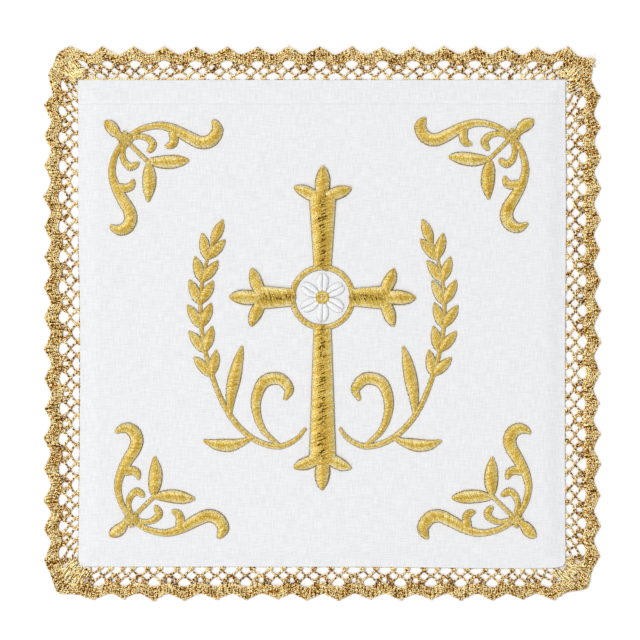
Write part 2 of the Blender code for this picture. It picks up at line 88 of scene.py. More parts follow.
def addNode(tree, kind, inputs=None, **settings):
    node = tree.nodes.new(kind)
    for name, value in settings.items():
        setattr(node, name, value)
    for key, value in (inputs or {}).items():
        if isinstance(value, bpy.types.NodeSocket):
            tree.links.new(value, node.inputs[key])
        else:
            node.inputs[key].default_value = value
    return node


def mathNode(tree, operation, first, second=0.0, third=0.0):
    return addNode(tree, "ShaderNodeMath", {0: first, 1: second, 2: third}, operation=operation).outputs[0]


def plus(tree, first, second):
    return mathNode(tree, "ADD", first, second)


def minus(tree, first, second):
    return mathNode(tree, "SUBTRACT", first, second)


def times(tree, first, second):
    return mathNode(tree, "MULTIPLY", first, second)


def divided(tree, first, second):
    return mathNode(tree, "DIVIDE", first, second)


def timesPlus(tree, first, second, third):
    return mathNode(tree, "MULTIPLY_ADD", first, second, third)


def vectorNode(tree, operation, first, second=(0.0, 0.0, 0.0)):
    return addNode(tree, "ShaderNodeVectorMath", {0: first, 1: second}, operation=operation).outputs[0]


def scaledVector(tree, vector, scale):
    return addNode(tree, "ShaderNodeVectorMath", {0: vector, "Scale": scale}, operation="SCALE").outputs[0]


def namedValue(tree, name, kind="FLOAT"):
    node = addNode(tree, "GeometryNodeInputNamedAttribute", {"Name": name}, data_type=kind)
    return node.outputs["Attribute"]


def placeOf(tree):
    return addNode(tree, "GeometryNodeInputPosition").outputs[0]


def splitVector(tree, vector):
    return addNode(tree, "ShaderNodeSeparateXYZ", {0: vector}).outputs


def joinVector(tree, x=0.0, y=0.0, z=0.0):
    return addNode(tree, "ShaderNodeCombineXYZ", {0: x, 1: y, 2: z}).outputs[0]


def shapeOf(tree, source):
    return addNode(tree, "GeometryNodeObjectInfo", {"Object": source}).outputs["Geometry"]


def movePoints(tree, geometry, place):
    return addNode(tree, "GeometryNodeSetPosition", {"Geometry": geometry, "Position": place}).outputs[0]


def compareNode(tree, operation, first, second):
    return addNode(tree, "FunctionNodeCompare", {0: first, 1: second}, data_type="FLOAT",
                   operation=operation).outputs[0]


def paintedOn(tree, name):
    # an attribute of the mesh, read in a material
    return addNode(tree, "ShaderNodeAttribute", attribute_name=name).outputs


def noiseOf(tree, place, scale, detail):
    return addNode(tree, "ShaderNodeTexNoise", {"Vector": place, "Scale": scale, "Detail": detail}).outputs


def ranged(tree, value, ends, lowest=0.0, highest=1.0):
    # takes a value from between two ends to between lowest and highest
    return addNode(tree, "ShaderNodeMapRange", {"Value": value, "From Min": ends[0], "From Max": ends[1],
                                                "To Min": lowest, "To Max": highest}).outputs[0]


def storeValue(tree, geometry, name, value, kind="FLOAT", domain="POINT"):
    values = {"Geometry": geometry, "Name": name, "Value": value}
    return addNode(tree, "GeometryNodeStoreNamedAttribute", values, data_type=kind, domain=domain).outputs[0]


def newTree(name, sizes, counts=()):
    # a geometry node group with one named input for each size and each count
    tree = bpy.data.node_groups.new(name, "GeometryNodeTree")
    rows = [(label, "Float") for label in sizes] + [(label, "Int") for label in counts]
    for label, kind in (("Geometry", "Geometry"), *rows):
        tree.interface.new_socket(label, in_out="INPUT", socket_type="NodeSocket" + kind)
    tree.interface.new_socket("Geometry", in_out="OUTPUT", socket_type="NodeSocketGeometry")
    return tree


def endTree(tree, geometry, material):
    whole = addNode(tree, "GeometryNodeRealizeInstances", {0: geometry}).outputs[0]
    finished = addNode(tree, "GeometryNodeSetMaterial", {"Geometry": whole, "Material": material}).outputs[0]
    addNode(tree, "NodeGroupOutput", {0: finished})


def linkObject(name, data):
    made = bpy.data.objects.new(name, data)
    partCollection.objects.link(made)
    return made


def meshObject(name, work, smooth=True):
    # takes a bmesh that is finished and frees it
    mesh = bpy.data.meshes.new(name)
    work.to_mesh(mesh)
    work.free()
    if smooth:
        mesh.shade_smooth()
    return linkObject(name, mesh)


def writeValues(mesh, name, values, kind="FLOAT"):
    attribute = mesh.attributes.new(name, kind, "POINT")
    for item, value in zip(attribute.data, values):
        setattr(item, "vector" if kind == "FLOAT_VECTOR" else "value", value)


def polyCurves(name, strands, twist="MINIMUM"):
    # each strand is a list of places, a list of radii, and whether it closes
    curve = bpy.data.curves.new(name, "CURVE")
    curve.dimensions = "3D"
    curve.twist_mode = twist
    for places, radii, closed in strands:
        spline = curve.splines.new("POLY")
        spline.points.add(len(places) - 1)
        for point, place, radius in zip(spline.points, places, radii):
            point.co = (*place, 1.0)
            point.radius = radius
        spline.use_cyclic_u = closed
    return linkObject(name, curve)


def bakeTree(name, source, tree, values):
    # runs a tree on an object and keeps the result as a plain mesh
    modifier = source.modifiers.new("build", "NODES")
    modifier.node_group = tree
    sockets = {item.name: item.identifier for item in tree.interface.items_tree if item.in_out == "INPUT"}
    for label, value in values.items():
        modifier[sockets[label]] = value
    bpy.context.view_layer.update()
    evaluated = source.evaluated_get(bpy.context.evaluated_depsgraph_get())
    mesh = bpy.data.meshes.new_from_object(evaluated)
    mesh.name = name
    source.modifiers.clear()
    bpy.data.objects.remove(source, do_unlink=True)
    print(name, len(mesh.polygons), "faces")
    return linkObject(name, mesh)


def newMaterial(name):
    material = bpy.data.materials.new(name)
    material.use_nodes = True
    return material, material.node_tree, material.node_tree.nodes["Principled BSDF"]


def finishMaterial(tree, shader, colour, height, look):
    # what is the same all over is set on the shader's own sockets
    bump = addNode(tree, "ShaderNodeBump", {"Height": height, "Strength": look["bump"],
                                            "Distance": look["bumpDistance"]})
    tree.links.new(bump.outputs[0], shader.inputs["Normal"])
    tree.links.new(colour, shader.inputs["Base Color"])
    for label, value in look["surface"].items():
        shader.inputs[label].default_value = value


def profileCurve(name, points):
    # a closed section to sweep along a curve
    return polyCurves(name, [([(*point, 0.0) for point in points], [1.0] * len(points), True)])


def mixColours(tree, factor, low, high):
    mix = addNode(tree, "ShaderNodeMix", {"Factor": factor}, data_type="RGBA")
    for key, value in (("A", low), ("B", high)):
        socket = [item for item in mix.inputs if item.name == key and item.type == "RGBA"][0]
        if isinstance(value, bpy.types.NodeSocket):
            tree.links.new(value, socket)
        else:
            socket.default_value = (*value, 1.0)
    return [item for item in mix.outputs if item.type == "RGBA"][0]


# Linen cloth

linen = {
    "side": 152.4 * mm,
    "thick": 1.6 * mm,
    "rimRadius": 0.1 * mm,
    "edgeDrop": 0.7 * mm,
    "edgeDropWidth": 6.5 * mm,
    "rimShare": 0.25,
    "hemWidth": 7.4 * mm,
    "hemStep": 0.5 * mm,
    "hemRaise": 0.12 * mm,
    "creaseBelowTop": 28.4 * mm,
    "creaseHalf": 0.8 * mm,
    "creaseDepth": 0.2 * mm,
    "creaseStart": 35.0 * mm,
    "creaseFadeIn": 12.0 * mm,
    "creaseFadeOut": 8.0 * mm,
    "lowCreaseBelowTop": 105.0 * mm,
    "lowCreaseShare": 0.35,
    "lowCreaseStart": 0.8,
    "lowCreaseFadeIn": 10.0 * mm,
    "puckerReach": 13.0 * mm,
    "puckerDepth": 0.3 * mm,
    "puckerPitch": 5.2 * mm,
    "sway": 0.08 * mm,
    "swayMiddle": 0.8,
    "finestStep": 0.24 * mm,
    "widestStep": 0.95 * mm,
    "detailHalf": 1.2 * mm,
    "detailFade": 7.0 * mm,
}
# slow unevenness of the cloth: waves in a metre each way, a slice of the noise, and a share
clothSway = table(
    "across down slice share",
    (24.0, 55.0, 3.0, 1.0),
    (80.0, 140.0, 7.0, 0.5),
)
puckerBands = table(
    "edge centre half share tilt",
    ("left", 41.5, 8.0, 1.0, 0.12),
    ("left", 96.0, 8.5, 0.8, -0.12),
    ("right", 37.0, 9.0, 0.6, 0.12),
    ("right", 88.0, 9.0, 0.5, -0.12),
)
edgeBow = table(
    "down left right",
    (0.0, -0.4, 0.05),
    (0.25, -0.4, -0.2),
    (0.52, 0.2, 0.05),
    (0.72, 0.1, 0.15),
    (1.0, -0.3, 0.0),
)
lowerEdge = table(
    "across hang",
    (0.0, 0.2),
    (0.55, 0.25),
    (0.92, 0.75),
    (1.0, 0.5),
)
upperCorner = (1.3 * mm, 1.1 * mm)
lowerCorner = (4.0 * mm, 2.4 * mm)
outward = {"top": (0, 1), "right": (1, 0), "bottom": (0, -1), "left": (-1, 0)}
# the material of the cloth, and the stitches that show on it
weave = {
    "threadPitch": 0.22 * mm,
    "wanderScale": 240.0,
    "wanderDetail": 2.0,
    "drift": 0.0008,
    "slub": 1.8,
    "slubAcross": 2600.0,
    "slubAlong": 260.0,
    "slubDetail": 2.0,
    "toneEnds": (0.75, 1.25),
    "darker": (0.765, 0.769, 0.786),
    "lighter": (0.865, 0.868, 0.880),
    "bump": 0.5,
    "bumpDistance": 0.04 * mm,
    "surface": {"Roughness": 0.85, "Specular IOR Level": 0.2, "Sheen Weight": 0.1},
}
hemStitches = {
    "line": linen["side"] / 2 - linen["hemWidth"] + 0.3 * mm,
    "pitch": 0.85 * mm,
    "half": 0.42 * mm,
    "core": 0.3,
    "patchEnds": (0.46, 0.56),
    # underShift, underHalf and underMost place the painted shade under the stitches; shade is its colour
    "underShift": 1.6,
    "underHalf": 0.7,
    "underMost": 0.45,
    "pale": (0.95, 0.95, 0.96),
    "shade": (0.70, 0.70, 0.72),
}


def linenPoint(across, down):
    # from distances across and down the cut square to its place, with bowed edges and round corners
    side = linen["side"]
    half = side / 2
    cornerWide, cornerHigh = upperCorner if down < half else lowerCorner
    fromSide = min(across, side - across)
    fromEnd = min(down, side - down)
    if fromSide < cornerWide and fromEnd < cornerHigh:
        a = 1.0 - fromSide / cornerWide
        b = 1.0 - fromEnd / cornerHigh
        fromSide = cornerWide * (1.0 - a * math.sqrt(1.0 - b * b / 2))
        fromEnd = cornerHigh * (1.0 - b * math.sqrt(1.0 - a * a / 2))
    across = fromSide if across < half else side - fromSide
    down = fromEnd if down < half else side - fromEnd
    share = down / side
    left = -half + readTable(edgeBow, "down", "left", share) * mm
    right = half - readTable(edgeBow, "down", "right", share) * mm
    x = left + (right - left) * across / side
    hang = readTable(lowerEdge, "across", "hang", across / side) * mm
    return Vector((x, half - down - hang * eased(2.0 * share - 1.0), 0.0))


def rimPoint(sideName, along):
    # a place on the rim, from its side and its distance from the middle of that side
    half = linen["side"] / 2
    outX, outY = outward[sideName]
    if outY:
        return linenPoint(along + half, half - outY * half)
    return linenPoint(half + outX * half, half - along)


def linenHeight(across, down):
    # the face: hem, ironed creases, puckers beside the seams, and the rolled rim
    side = linen["side"]
    height = linen["thick"] + linen["hemRaise"] * (1.0 - eased((down - linen["hemWidth"]) / linen["hemStep"]))
    off = (down - linen["creaseBelowTop"]) / linen["creaseHalf"]
    along = eased((across - linen["creaseStart"]) / linen["creaseFadeIn"])
    along *= eased((side - across) / linen["creaseFadeOut"])
    height -= linen["creaseDepth"] * along * math.exp(-off * off)
    off = (down - linen["lowCreaseBelowTop"]) / linen["creaseHalf"]
    along = eased((across - linen["lowCreaseStart"] * side) / linen["lowCreaseFadeIn"])
    height -= linen["lowCreaseShare"] * linen["creaseDepth"] * math.exp(-off * off) * along
    for band in puckerBands:
        inward = across if band["edge"] == "left" else side - across
        off = (down - band["centre"] * mm) / (band["half"] * mm)
        if inward < linen["puckerReach"] and abs(off) < 1.0:
            fade = (1.0 - inward / linen["puckerReach"]) * (1.0 - off * off)
            turn = 2 * math.pi * (down - band["centre"] * mm + band["tilt"] * inward) / linen["puckerPitch"]
            height -= linen["puckerDepth"] * band["share"] * fade * (0.5 + 0.5 * math.cos(turn))
    sway = 0.0
    for layer in clothSway:
        spot = Vector((across * layer["across"], down * layer["down"], layer["slice"]))
        sway += layer["share"] * noise.noise(spot)
    height += linen["sway"] * (sway - linen["swayMiddle"])
    toRim = min(across, side - across, down, side - down)
    height -= linen["edgeDrop"] * (1.0 - eased(toRim / linen["edgeDropWidth"]))
    if toRim < linen["rimRadius"]:
        roll = 1.0 - toRim / linen["rimRadius"]
        height *= linen["rimShare"] + (1.0 - linen["rimShare"]) * math.sqrt(max(0.0, 1.0 - roll * roll))
    return height


def clothSteps(spots):
    # places along one side of the cloth, closer together near the spots that have detail
    steps = [0.0]
    while steps[-1] < linen["side"]:
        near = min(abs(steps[-1] - spot) for spot in spots)
        share = eased((near - linen["detailHalf"]) / linen["detailFade"])
        steps.append(steps[-1] + linen["finestStep"] + (linen["widestStep"] - linen["finestStep"]) * share)
    return [step * linen["side"] / steps[-1] for step in steps]


def linenMaterial():
    material, tree, shader = newMaterial("linenWeave")
    place = addNode(tree, "ShaderNodeTexCoord").outputs["Object"]
    wander = noiseOf(tree, place, weave["wanderScale"], weave["wanderDetail"])
    drift = scaledVector(tree, vectorNode(tree, "SUBTRACT", wander["Color"], middleGrey), weave["drift"])
    x, y, z = splitVector(tree, vectorNode(tree, "ADD", place, drift))
    warp, weft = (mathNode(tree, "SINE", times(tree, way, math.pi / weave["threadPitch"]))
                  for way in (x, y))
    slubs = []
    slubWaves = (weave["slubAcross"], weave["slubAlong"])
    for stretch in (slubWaves, slubWaves[::-1]):
        moved = addNode(tree, "ShaderNodeMapping", {"Vector": place, "Scale": (*stretch, 1.0)}).outputs[0]
        slubs.append(noiseOf(tree, moved, 1.0, weave["slubDetail"])[0])
    slub = plus(tree, *slubs)
    height = timesPlus(tree, slub, weave["slub"], times(tree, warp, weft))
    colour = mixColours(tree, ranged(tree, slub, weave["toneEnds"]), weave["darker"], weave["lighter"])
    # small stitches along the hem, paler than the cloth, with a faint painted shade under them
    half = hemStitches["half"]
    off = minus(tree, y, hemStitches["line"])
    onLine = ranged(tree, mathNode(tree, "ABSOLUTE", off), (half, hemStitches["core"] * half))
    dots = mathNode(tree, "SINE", times(tree, x, 2 * math.pi / hemStitches["pitch"]))
    seen = ranged(tree, wander[0], hemStitches["patchEnds"])
    dots = times(tree, mathNode(tree, "MAXIMUM", dots, 0.0), seen)
    colour = mixColours(tree, times(tree, dots, onLine), colour, hemStitches["pale"])
    # painted shade: a faint dark line just below the stitches
    under = mathNode(tree, "ABSOLUTE", plus(tree, off, hemStitches["underShift"] * half))
    under = ranged(tree, under, (hemStitches["underHalf"] * half, 0.0), 0.0, hemStitches["underMost"])
    colour = mixColours(tree, under, colour, hemStitches["shade"])
    finishMaterial(tree, shader, colour, height, weave)
    return material


def makeLinen():
    side = linen["side"]
    columns = clothSteps((0.0, side))
    rows = clothSteps((0.0, linen["hemWidth"], linen["creaseBelowTop"], side))
    work = bmesh.new()
    bmesh.ops.create_grid(work, x_segments=len(columns) - 1, y_segments=len(rows) - 1, size=0.5)
    for vertex in work.verts:
        across = columns[round((vertex.co.x + 0.5) * (len(columns) - 1))]
        down = rows[round((0.5 - vertex.co.y) * (len(rows) - 1))]
        vertex.co = linenPoint(across, down)
        vertex.co.z = linenHeight(across, down)
    rim = [edge for edge in work.edges if edge.is_boundary]
    made = bmesh.ops.extrude_edge_only(work, edges=rim)
    for item in made["geom"]:
        if isinstance(item, bmesh.types.BMVert):
            item.co.z = 0.0
    under = [item for item in made["geom"] if isinstance(item, bmesh.types.BMEdge) and item.is_boundary]
    bmesh.ops.contextual_create(work, geom=under)
    bmesh.ops.recalc_face_normals(work, faces=work.faces)
    cloth = meshObject("linenCloth", work)
    cloth.data.materials.append(linenMaterial())
    print("linenCloth", len(cloth.data.polygons), "faces")
    return cloth


# Lace edging

lace = {
    "reachX": 86.9 * mm,
    "reachY": 86.4 * mm,
    "footInset": 4.2 * mm,
    "gatherFrom": 50.0 * mm,
    "gatherTo": 87.0 * mm,
    "gather": 0.1,
    "tipUneven": 0.45 * mm,
    "tipShift": 0.3 * mm,
    "fullTipEvery": 5,
    "fullTip": 2,
    "wander": 0.9 * mm,
    "wanderApart": 5.7,
    "wanderWaves": (3.1, 3.0, 300.0),
    "wanderShares": (1.0, 1.0, 0.25),
    "seed": 4.0,
    "cordRadius": 0.30,
    "threadRadius": 0.33,
    "workerRadius": 0.22,
    "latticeRadius": 0.24,
    "underRadius": 0.3,
    "firstTuck": 1.3 * mm,
    "twistPitch": 1.7 * mm,
    "step": 0.36 * mm,
    "pathSteps": 4,
    "fewestFine": 13,
}
laceSides = table(
    "name tips first last further notch",
    ("top", 17, -78.6, 77.0, 0.0, 0.72),
    ("right", 16, 70.9, -73.1, 0.0, 0.765),
    ("bottom", 16, 72.3, -72.0, 0.25, 0.76),
    ("left", 17, -74.2, 77.5, 0.25, 0.76),
)
laceCorners = table(
    "x y notchBefore notchAfter",
    (84.3, 82.3, 0.86, 0.80),
    (83.0, -83.2, 0.88, 0.85),
    (-83.0, -84.6, 0.88, 0.95),
    (-82.6, 84.6, 0.97, 0.97),
)
plainNotch = 0.72
# a pass of a worker thread: where it turns, how early it starts, and its heights over and under the cords
workerPass = {"inner": 0.33, "outer": 0.67, "lead": 0.4, "out": (0.6, 0.95, 0.3, 0.7),
              "back": (0.5, 0.3, 0.95, 0.7)}


def laceStations():
    # one station a scallop: where it is sewn, its tip, and how deep the notch after it is
    half = linen["side"] / 2
    stations = []
    for side, corner in zip(laceSides, laceCorners):
        outX, outY = outward[side["name"]]
        for tip in range(side["tips"]):
            number = len(stations)
            share = tip / (side["tips"] - 1)
            along = (side["first"] + (side["last"] - side["first"]) * share) * mm
            if 0 < tip < side["tips"] - 1:
                along += lace["tipShift"] * uneven(number, 1)
            short = 0.0
            if tip % lace["fullTipEvery"] != lace["fullTip"]:
                short = lace["tipUneven"] * abs(uneven(number, 2))
            short -= side["further"] * mm
            if side["name"] == "left" and tip == side["tips"] - 1:
                short = lace["firstTuck"]
            past = (abs(along) - lace["gatherFrom"]) / (lace["gatherTo"] - lace["gatherFrom"])
            sewn = min(abs(along) * (1.0 - lace["gather"] * eased(past)), half - lace["footInset"])
            foot = rimPoint(side["name"], math.copysign(sewn, along))
            outer = Vector((along, outY * (lace["reachY"] - short), 0.0))
            if outX:
                outer = Vector((outX * (lace["reachX"] - short), along, 0.0))
            notch = corner["notchBefore"] if tip == side["tips"] - 1 else side["notch"]
            stations.append({"foot": foot, "outer": outer, "notch": notch})
        foot = linenPoint(half + math.copysign(half, corner["x"]), half - math.copysign(half, corner["y"]))
        outer = Vector((corner["x"], corner["y"], 0.0)) * mm
        stations.append({"foot": foot, "outer": outer, "notch": corner["notchAfter"]})
    return stations


def laceGuide(name, stations, first, count):
    # two points a scallop along the linen's rim, each with the tip line opposite it
    feet = []
    tips = []
    lifts = []
    for half in range(-1, 2 * count):
        number = first + half // 2
        here = stations[number % len(stations)]
        following = stations[(number + 1) % len(stations)]
        part = (half % 2) / 2
        feet.append(here["foot"].lerp(following["foot"], part))
        tips.append(here["outer"].lerp(following["outer"], part))
        lifts.append(here["notch"] / plainNotch - 1.0 if half % 2 else 0.0)
    mesh = bpy.data.meshes.new(name)
    mesh.from_pydata(feet, [(n, n + 1) for n in range(len(feet) - 1)], [])
    writeValues(mesh, "outer", tips, "FLOAT_VECTOR")
    writeValues(mesh, "lift", lifts)
    return linkObject(name, mesh)


def scallopShape(place):
    # from 0 in the notch to 1 at the tip, with nearly straight flanks
    return 0.6 * math.cos(math.pi * place) ** 2 + 0.4 * (1.0 - 2.0 * abs(place))


def bandLine(tipOut, notchOut, height):
    # a cord of the scalloped band across one repeat
    rows = []
    for step in range(17):
        place = -0.5 + step / 16
        rows.append((place, notchOut + (tipOut - notchOut) * scallopShape(place), height))
    return rows


def workerLine(passes, shift, lowEdge, highEdge, half=0.5):
    # a thread that zigzags between two edges, over and under the cords that it crosses
    rows = []
    for step in range(passes + 1):
        place = -half + 2 * half * step / passes
        shape = scallopShape(place)
        low = lowEdge[0] + (lowEdge[1] - lowEdge[0]) * shape
        high = highEdge[0] + (highEdge[1] - highEdge[0]) * shape
        outs = (low, low + workerPass["inner"] * (high - low), low + workerPass["outer"] * (high - low), high)
        goesOut = (step + shift) % 2
        heights = workerPass["out" if goesOut else "back"]
        for turn, index in enumerate(range(4) if goesOut else range(3, -1, -1)):
            at = place + 2 * half * (turn / 4 - workerPass["lead"]) / passes
            rows.append((max(min(at, half), -half), outs[index], heights[index]))
    return rows


def strandsOf(kind, *paths):
    return [(path, lace[kind + "Radius"]) for path in paths]


def bothWays(strands):
    # each thread of the ground has its mirror image across the repeat
    return [(rows, radius) for path, radius in strands
            for rows in (path, [(-across, out, height) for across, out, height in path])]


def lowered(strands, share):
    return [([(across, out, height * share) for across, out, height in path], radius)
            for path, radius in strands]


# one repeat of the lace: place along it, share of the way out, height in mm
bandCords = strandsOf("cord", *(bandLine(*row) for row in (
    (0.955, 0.745, 0.45), (0.89, 0.69, 0.5), (0.82, 0.635, 0.45), (0.752, 0.58, 0.5), (0.688, 0.525, 0.45),
    (0.628, 0.475, 0.5))))
underCords = strandsOf("under", *(bandLine(tip, notch, 0.1) for tip, notch in (
    (0.925, 0.715), (0.855, 0.655), (0.785, 0.605), (0.715, 0.55), (0.66, 0.5))))
picot = strandsOf("cord", [(-0.06, 0.90, 0.5), (-0.05, 0.965, 0.75), (0.0, 0.995, 0.6), (0.05, 0.96, 0.4),
                           (0.055, 0.90, 0.6)])
bandWorkers = strandsOf("worker", workerLine(13, 0, (0.47, 0.61), (0.74, 0.95)),
                        workerLine(10, 1, (0.48, 0.62), (0.73, 0.94)))
groundThreads = lowered(bothWays(strandsOf(
    "thread",
    # from the foot over the crossing below the oval and round the oval's side
    [(-0.285, -0.015, 0.9), (-0.26, 0.02, 0.9), (-0.235, 0.055, 0.7), (-0.205, 0.1, 0.8), (-0.11, 0.19, 0.65),
     (0.0, 0.268, 0.35), (0.11, 0.335, 0.5), (0.19, 0.4, 0.6), (0.235, 0.47, 0.4), (0.205, 0.55, 0.4),
     (0.1, 0.61, 0.4)],
    # from the foot to the lower corner of the closed ground
    [(-0.155, -0.015, 0.9), (-0.18, 0.02, 0.8), (-0.205, 0.07, 0.6), (-0.26, 0.125, 0.4), (-0.34, 0.18, 0.55),
     (-0.42, 0.215, 0.65), (-0.5, 0.245, 0.5)],
    # the turn at the foot
    [(-0.275, 0.0, 0.6), (-0.24, 0.04, 0.5), (-0.2, 0.035, 0.7), (-0.165, 0.0, 0.6)],
    # the lower edge of the closed ground
    [(-0.5, 0.255, 0.6), (-0.42, 0.265, 0.7), (-0.35, 0.305, 0.4), (-0.27, 0.375, 0.6), (-0.2, 0.44, 0.45)],
) + strandsOf(
    "lattice",
    # the closed ground, with a small hole under the notch
    [(-0.5, 0.27, 0.7), (-0.43, 0.3, 0.5), (-0.4, 0.37, 0.6), (-0.405, 0.45, 0.5), (-0.45, 0.53, 0.6)],
    [(-0.39, 0.31, 0.5), (-0.35, 0.37, 0.7), (-0.35, 0.46, 0.4), (-0.36, 0.58, 0.6)],
    [(-0.27, 0.38, 0.5), (-0.295, 0.44, 0.7), (-0.305, 0.52, 0.4), (-0.3, 0.6, 0.6)],
)), 0.65)
groundKnots = bothWays(strandsOf(
    "thread",
    [(-0.315, -0.01, 0.6), (-0.27, 0.065, 0.75), (-0.225, 0.0, 0.55), (-0.18, 0.07, 0.7),
     (-0.13, -0.01, 0.55)],
    [(-0.285, 0.015, 0.4), (-0.22, 0.03, 0.5), (-0.16, 0.015, 0.4)],
) + strandsOf("lattice", [(-0.05, 0.245, 0.4), (-0.02, 0.285, 0.7), (0.01, 0.25, 0.5), (0.045, 0.285, 0.6)]))
laceStrands = bandCords + underCords + picot + bandWorkers + groundThreads + groundKnots
cornerStrands = bandCords + underCords + bandWorkers + strandsOf(
    "thread",
    workerLine(11, 0, (0.06, 0.1), (0.5, 0.62), 0.46),
    workerLine(9, 1, (0.1, 0.16), (0.46, 0.58), 0.48),
) + strandsOf(
    "cord",
    [(-0.4, 0.2, 0.5), (-0.2, 0.27, 0.5), (0.0, 0.3, 0.5), (0.2, 0.26, 0.5), (0.4, 0.2, 0.5)],
    [(-0.44, 0.36, 0.5), (-0.2, 0.42, 0.5), (0.0, 0.46, 0.5), (0.2, 0.41, 0.5), (0.44, 0.36, 0.5)],
)


def repeatCurves(name, strands):
    # the strands of one repeat as curves, with their thickness as the radius; coarse paths are smoothed
    made = []
    for rows, radius in strands:
        path = smoothPath(rows, lace["pathSteps"]) if len(rows) < lace["fewestFine"] else rows
        places = [(across, out, height * mm) for across, out, height in path]
        made.append((places, [radius] * len(places), False))
    return polyCurves(name, made)


def sweepStrands(tree, curves, step, twistPitch, section, material):
    # gives curves a twisted two-ply section; their radius is in mm
    even = addNode(tree, "GeometryNodeResampleCurve", {"Curve": curves, "Length": step}, mode="LENGTH")
    length = addNode(tree, "GeometryNodeSplineParameter").outputs["Length"]
    turns = divided(tree, times(tree, length, 2 * math.pi), twistPitch)
    twisted = addNode(tree, "GeometryNodeSetCurveTilt", {"Curve": even.outputs[0], "Tilt": turns}).outputs[0]
    twisted = storeValue(tree, twisted, "along", length)
    profile = storeValue(tree, shapeOf(tree, section), "around", placeOf(tree), "FLOAT_VECTOR")
    radius = times(tree, addNode(tree, "GeometryNodeInputRadius").outputs[0], mm)
    swept = addNode(tree, "GeometryNodeCurveToMesh", {"Curve": twisted, "Profile Curve": profile,
                                                      "Scale": radius, "Fill Caps": True}).outputs[0]
    endTree(tree, addNode(tree, "GeometryNodeSetShadeSmooth", {"Geometry": swept}).outputs[0], material)


def laceTree(name, repeat, strandCount, section, material):
    # repeats the strands, shakes them, bends them along the guide and gives them their section
    tree = newTree(name, ("First", "Wander", "Step", "Twist Pitch", "Seed"), ("Repeats",))
    start = addNode(tree, "NodeGroupInput").outputs
    spots = addNode(tree, "GeometryNodeMeshLine", {
        "Count": start["Repeats"], "Start Location": joinVector(tree, start["First"]),
        "Offset": (1.0, 0.0, 0.0)})
    copies = addNode(tree, "GeometryNodeInstanceOnPoints", {
        "Points": spots.outputs[0], "Instance": shapeOf(tree, repeat)})
    whole = addNode(tree, "GeometryNodeRealizeInstances", {0: copies.outputs[0]}).outputs[0]
    place = placeOf(tree)
    flat = splitVector(tree, place)
    # each strand of the repeat wanders its own way, and on smoothly from one repeat to the next
    strandNumber = mathNode(tree, "MODULO", addNode(tree, "GeometryNodeInputIndex").outputs[0], strandCount)
    onCurve = addNode(tree, "GeometryNodeFieldOnDomain", {0: strandNumber}, domain="CURVE",
                      data_type="FLOAT").outputs[0]
    away = joinVector(tree, z=times(tree, onCurve, lace["wanderApart"]))
    seeded = vectorNode(tree, "ADD", vectorNode(tree, "MULTIPLY", place, lace["wanderWaves"]), away)
    shaken = addNode(tree, "ShaderNodeTexNoise", {"Vector": seeded, "W": start["Seed"], "Scale": 1.0,
                                                  "Detail": 1.0}, noise_dimensions="4D").outputs["Color"]
    shaken = vectorNode(tree, "SUBTRACT", shaken, middleGrey)
    # the guide has two points a scallop, and starts one point early
    station = minus(tree, flat[0], start["First"])
    station = timesPlus(tree, station, 2.0, 1.0)
    lower = mathNode(tree, "FLOOR", station)
    part = minus(tree, station, lower)
    upper = plus(tree, lower, 1.0)

    def sampled(value, kind, socketType):
        # a value of the guide, blended between the two points that are nearest
        mix = addNode(tree, "ShaderNodeMix", {0: part}, data_type=socketType)
        sockets = [item for item in mix.inputs if item.enabled and item.name in ("A", "B")]
        for index, socket in zip((lower, upper), sockets):
            values = {"Geometry": start["Geometry"], "Index": index, "Value": value}
            node = addNode(tree, "GeometryNodeSampleIndex", values, data_type=kind, clamp=True)
            tree.links.new(node.outputs[0], socket)
        return [item for item in mix.outputs if item.enabled][0]

    foot = sampled(placeOf(tree), "FLOAT_VECTOR", "VECTOR")
    outer = sampled(namedValue(tree, "outer", "FLOAT_VECTOR"), "FLOAT_VECTOR", "VECTOR")
    lift = sampled(namedValue(tree, "lift"), "FLOAT", "FLOAT")
    out = times(tree, flat[1], plus(tree, lift, 1.0))
    reach = scaledVector(tree, vectorNode(tree, "SUBTRACT", outer, foot), out)
    shake = vectorNode(tree, "MULTIPLY", scaledVector(tree, shaken, start["Wander"]), lace["wanderShares"])
    raised = vectorNode(tree, "ADD", joinVector(tree, z=flat[2]), shake)
    spot = vectorNode(tree, "ADD", vectorNode(tree, "ADD", foot, reach), raised)
    sweepStrands(tree, movePoints(tree, whole, spot), start["Step"], start["Twist Pitch"], section, material)
    return tree


footingThreads = table("side start end radius level dive pitch", ("top", -75.5, -40.5, 0.27, 0.75, 0.0, 2.0))
sewingThreads = table(
    "side start end radius level dive pitch",
    ("top", -41.5, 75.0, 0.08, 0.5, 0.4, 2.3),
    ("right", 74.0, -73.5, 0.1, 0.5, 0.4, 2.1),
    ("bottom", 73.0, -73.0, 0.05, 0.5, 0.4, 1.9),
    ("left", -74.0, 27.0, 0.15, 0.6, 0.3, 1.9),
)
cornerKnots = table(
    "x y wide high loops radius bright",
    (-76.3, 78.0, 2.5, 1.5, 8, 0.27, False),
    (-76.9, 77.2, 0.8, 0.5, 5, 0.25, True),
    (75.3, 78.0, 1.8, 1.4, 6, 0.27, False),
    (84.0, 81.5, 1.2, 1.5, 4, 0.27, False),
    (-77.0, -77.5, 2.0, 1.5, 5, 0.25, False),
    (77.5, -77.5, 1.8, 1.8, 5, 0.25, False),
)
# how the corner threads are wound, in shares of their size and turns, and how the sewing thread wavers
winding = {"steps": 16, "least": 0.7, "more": 0.3, "wideRate": 0.37, "highRate": 0.83, "highStart": 0.8,
           "highMore": 0.23, "level": 0.85, "sway": 0.35, "swayRate": 1.7, "brightLevel": 0.25}
sewing = {"step": 0.5, "beside": 0.05 * mm, "waver": 0.08 * mm, "phase": 2.0, "tuck": 0.7, "bob": 0.12}


